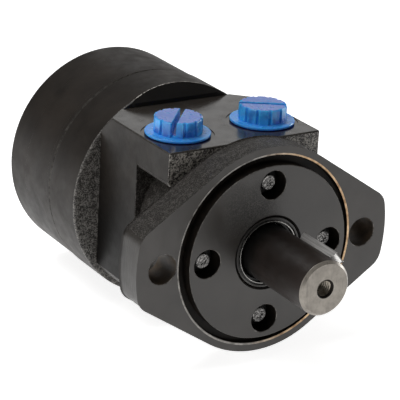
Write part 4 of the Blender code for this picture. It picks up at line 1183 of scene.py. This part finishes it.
def ring_lobes():
    """Inner outline of the stator ring, anticlockwise, with round standing lobes."""
    reach = math.asin(LOBE_RADIUS / LOBE_CIRCLE)
    pitch = 2 * math.pi / RING_LOBES
    points = []
    for k in range(RING_LOBES):
        middle = UP + k * pitch
        for step in range(25):
            turn = reach * math.sin(math.pi * (step / 24 - 0.5))
            across = LOBE_CIRCLE * math.sin(turn)
            depth = math.sqrt(max(LOBE_RADIUS ** 2 - across ** 2, 0))
            radius = min(LOBE_CIRCLE * math.cos(turn) - depth, RING_BORE)
            points.append((radius * math.cos(middle + turn), radius * math.sin(middle + turn)))
        points += arc(RING_BORE, middle + reach + 0.02, middle + pitch - reach - 0.02, 10)
    return points


def seal_groove(face, direction):
    """Cutter for a round face seal's groove."""
    floor = face + direction * FACE_SEAL_DEPTH
    past = face - direction * 1 * MM
    inner = FACE_SEAL_RADIUS - FACE_SEAL_GROOVE
    outer = FACE_SEAL_RADIUS + FACE_SEAL_GROOVE
    return lathe([(past, inner), (past, outer), (floor, outer), (floor, inner)], MEDIUM)


def bolt_cutters(front, rear):
    """Cutters for the through-bolt holes."""
    return gather([lathe([(front, 0), (front, BOLT_HOLE_RADIUS), (rear, BOLT_HOLE_RADIUS), (rear, 0)],
                         SMALL, (x, 0, z)) for x, z in around(RING_LOBES, BOLT_CIRCLE)])


def drum_finish(centre, normal):
    """Turned paint outside with a lighter front bevel, part rubbed paint and part painted highlight,
    bare steel inside.
    """
    distance = math.hypot(centre.x, centre.z)
    if distance > DRUM_RADIUS - 1.1 * MM and -0.9 < normal.y < -0.5:
        return "dull_edge"
    outside = distance > BOLT_CIRCLE + BOLT_COUNTERBORE + 0.3 * MM or centre.y > BOLT_TOP
    return "turned" if outside else "bare_iron"


def build_drum():
    """Spacer plate, stator ring and end cover. Paint closes the seam between the last two."""
    past = 1 * MM
    hairline = 0.015 * MM
    joint = (PLATE_REAR + RING_FRONT) / 2
    bevel = 1.1 * MM
    plate = make("plate_ring", lathe([(PLATE_FRONT, 15 * MM), (PLATE_FRONT, DRUM_RADIUS - bevel),
                                      (PLATE_FRONT + bevel, DRUM_RADIUS),
                                      (joint - hairline, DRUM_RADIUS), (joint - hairline, 15 * MM)],
                                     FINE))
    combine(plate, bolt_cutters(PLATE_FRONT - past, PLATE_REAR + past))
    finish_piece(plate, "casing", ["spacer_plate"],
                 ["turned", "bare_iron", "dull_edge"], drum_finish)
    seam = (RING_REAR + COVER_FRONT) / 2
    ring = make("stator_body", lathe([(joint + hairline, 10 * MM), (joint + hairline, DRUM_RADIUS),
                                      (seam - hairline, DRUM_RADIUS), (seam - hairline, 10 * MM)],
                                     FINE))
    lobes = ring_lobes()
    combine(ring, loft([(RING_FRONT - past, lobes), (RING_REAR + past, lobes)]))
    combine(ring, bolt_cutters(RING_FRONT - past, RING_REAR + past))
    combine(ring, seal_groove(RING_FRONT, 1))
    finish_piece(ring, "casing", ["stator_ring"],
                 ["turned", "bare_iron", "dull_edge"], drum_finish)
    cover = make("cover_body", lathe(rounded([(seam + hairline, 0), (seam + hairline, DRUM_RADIUS, 0),
                                              (COVER_REAR, DRUM_RADIUS, 2.6 * MM), (COVER_REAR, 0)],
                                             steps=8, closed=False), FINE))
    combine(cover, bolt_cutters(COVER_FRONT - past, COVER_REAR))
    heads = [lathe([(BOLT_FLOOR, 0), (BOLT_FLOOR, BOLT_COUNTERBORE),
                    (COVER_REAR - 0.4 * MM, BOLT_COUNTERBORE),
                    (COVER_REAR + 2 * MM, BOLT_COUNTERBORE + 2.4 * MM), (COVER_REAR + 2 * MM, 0)],
                   MEDIUM, (x, 0, z)) for x, z in around(RING_LOBES, BOLT_CIRCLE)]
    combine(cover, gather(heads))
    combine(cover, seal_groove(seam + hairline, 1))
    finish_piece(cover, "casing", ["end_cover"],
                 ["turned", "bare_iron", "dull_edge"], drum_finish)


def build_bolts():
    """Socket-head bolts with knurled heads and hexagon sockets."""
    teeth = 36
    turns = [2 * math.pi * k / (4 * teeth) for k in range(4 * teeth)]
    under_head = BOLT_SEAT + 1 * MM
    shank = rounded([(BOLT_FRONT, 0), (BOLT_FRONT, BOLT_RADIUS, 0.7 * MM), (under_head, BOLT_RADIUS, 0),
                     (under_head, 0)], closed=False)
    top = BOLT_TOP
    for number, (x, z) in enumerate(around(RING_LOBES, BOLT_CIRCLE), 1):
        bolt = make(f"socket_bolt_{number}", lathe(shank, SMALL, (x, 0, z)))
        rim = []
        for turn in turns:
            reach = BOLT_HEAD_RADIUS - 0.15 * MM * (0.5 + 0.5 * math.cos(teeth * turn))
            rim.append((x + reach * math.cos(turn), z + reach * math.sin(turn)))
        plain = [(x + a, z + b) for a, b in around(4 * teeth, BOLT_HEAD_RADIUS - 0.2 * MM, 0)]
        head = loft([(BOLT_SEAT, plain), (BOLT_SEAT + 1.2 * MM, plain), (BOLT_SEAT + 1.4 * MM, rim),
                     (top - 1.4 * MM, rim), (top - 1.2 * MM, plain), (top - 0.6 * MM, plain),
                     (top - 0.2 * MM, inset(plain, 0.3 * MM)), (top, inset(plain, 0.9 * MM))])
        combine(bolt, head, "UNION")
        hexagon = [(x + a, z + b) for a, b in around(6, HEX_RADIUS, number)]
        combine(bolt, loft([(top - HEX_DEPTH, hexagon), (top + 1 * MM, hexagon)]))
        finish_piece(bolt, "casing", [f"cover_bolt_{number}"], ["bolt_oxide"])


def dress_inner_nodes():
    """Procedural finishes for the CAD pieces whose shape stays."""
    finishes = {"seal_backup_ring": "ground_steel", "flange_seal": "rubber",
                "thrust_race_front": "ground_steel", "needle_cage": "ground_steel",
                "thrust_race_rear": "ground_steel", "rotor": "ground_steel",
                "cardan_drive": "ground_steel", "drive_spacer": "ground_steel",
                "housing_face_seal": "rubber", "stator_face_seal": "rubber",
                "cover_face_seal": "rubber"}
    for node, finish in finishes.items():
        paint(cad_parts[node], [finish])


# ---------------------------------------------------------------- studio

def area_light(name, place, aim, size, power, colour=(1, 1, 1)):
    """A soft rectangular light that looks at a point."""
    data = bpy.data.lights.new(name, "AREA")
    data.shape = "RECTANGLE"
    data.size, data.size_y = size
    data.energy = power
    data.color = colour
    light = bpy.data.objects.new(name, data)
    light.location = place
    light.rotation_euler = (Vector(aim) - Vector(place)).to_track_quat("-Z", "Y").to_euler()
    light.visible_camera = False
    bpy.context.scene.collection.objects.link(light)


def build_studio():
    """Glowing white floor, a dim warm surround, and soft cards above, behind and at both sides."""
    bm = bmesh.new()
    bmesh.ops.create_grid(bm, x_segments=8, y_segments=8, size=4)
    bmesh.ops.translate(bm, verts=bm.verts, vec=(0, 0, -BAND_RADIUS - 0.2 * MM))
    floor = make("studio_floor", bm)
    floor.data.materials.append(pale_floor())
    world = bpy.data.worlds.new("studio")
    bpy.context.scene.world = world
    world.use_nodes = True
    background = world.node_tree.nodes["Background"]
    background.inputs["Color"].default_value = (1.0, 0.97, 0.93, 1.0)
    background.inputs["Strength"].default_value = 0.16
    area_light("overhead", (-0.35, 0.25, 0.95), (0, 0.05, 0), (0.8, 0.6), 6)
    area_light("left_card", (-1.0, 0.1, 0.30), (0, 0.05, 0), (0.6, 0.4), 2)
    area_light("back_card", (0.66, 1.02, 0.48), (0, 0.05, 0.04), (0.8, 0.45), 0.85)
    area_light("right_card", (1.1, 0.05, 0.10), (0, -0.03, 0), (0.5, 0.4), 4)


def build_camera():
    """The picture's own view."""
    a, e, r = CAMERA_AZIMUTH, CAMERA_ELEVATION, CAMERA_ROLL
    back = Vector((math.sin(a) * math.cos(e), -math.cos(a) * math.cos(e), math.sin(e)))
    level = Vector((math.cos(a), math.sin(a), 0))
    above = back.cross(level)
    right = math.cos(r) * level + math.sin(r) * above
    up = -math.sin(r) * level + math.cos(r) * above
    data = bpy.data.cameras.new("camera")
    data.lens = LENS
    data.sensor_width = SENSOR
    data.clip_start = 0.01
    camera = bpy.data.objects.new("camera", data)
    place = back * CAMERA_DISTANCE - right * CAMERA_RIGHT + up * CAMERA_DOWN
    camera.matrix_world = Matrix.Translation(place) @ Matrix((right, up, back)).transposed().to_4x4()
    bpy.context.scene.collection.objects.link(camera)
    bpy.context.scene.camera = camera


def main():
    bpy.context.scene.view_settings.view_transform = "Standard"
    build_camera()
    build_studio()
    build_flange()
    build_screws()
    build_seals()
    build_shaft()
    build_housing()
    build_plugs()
    build_drum()
    build_bolts()
    dress_inner_nodes()


main()
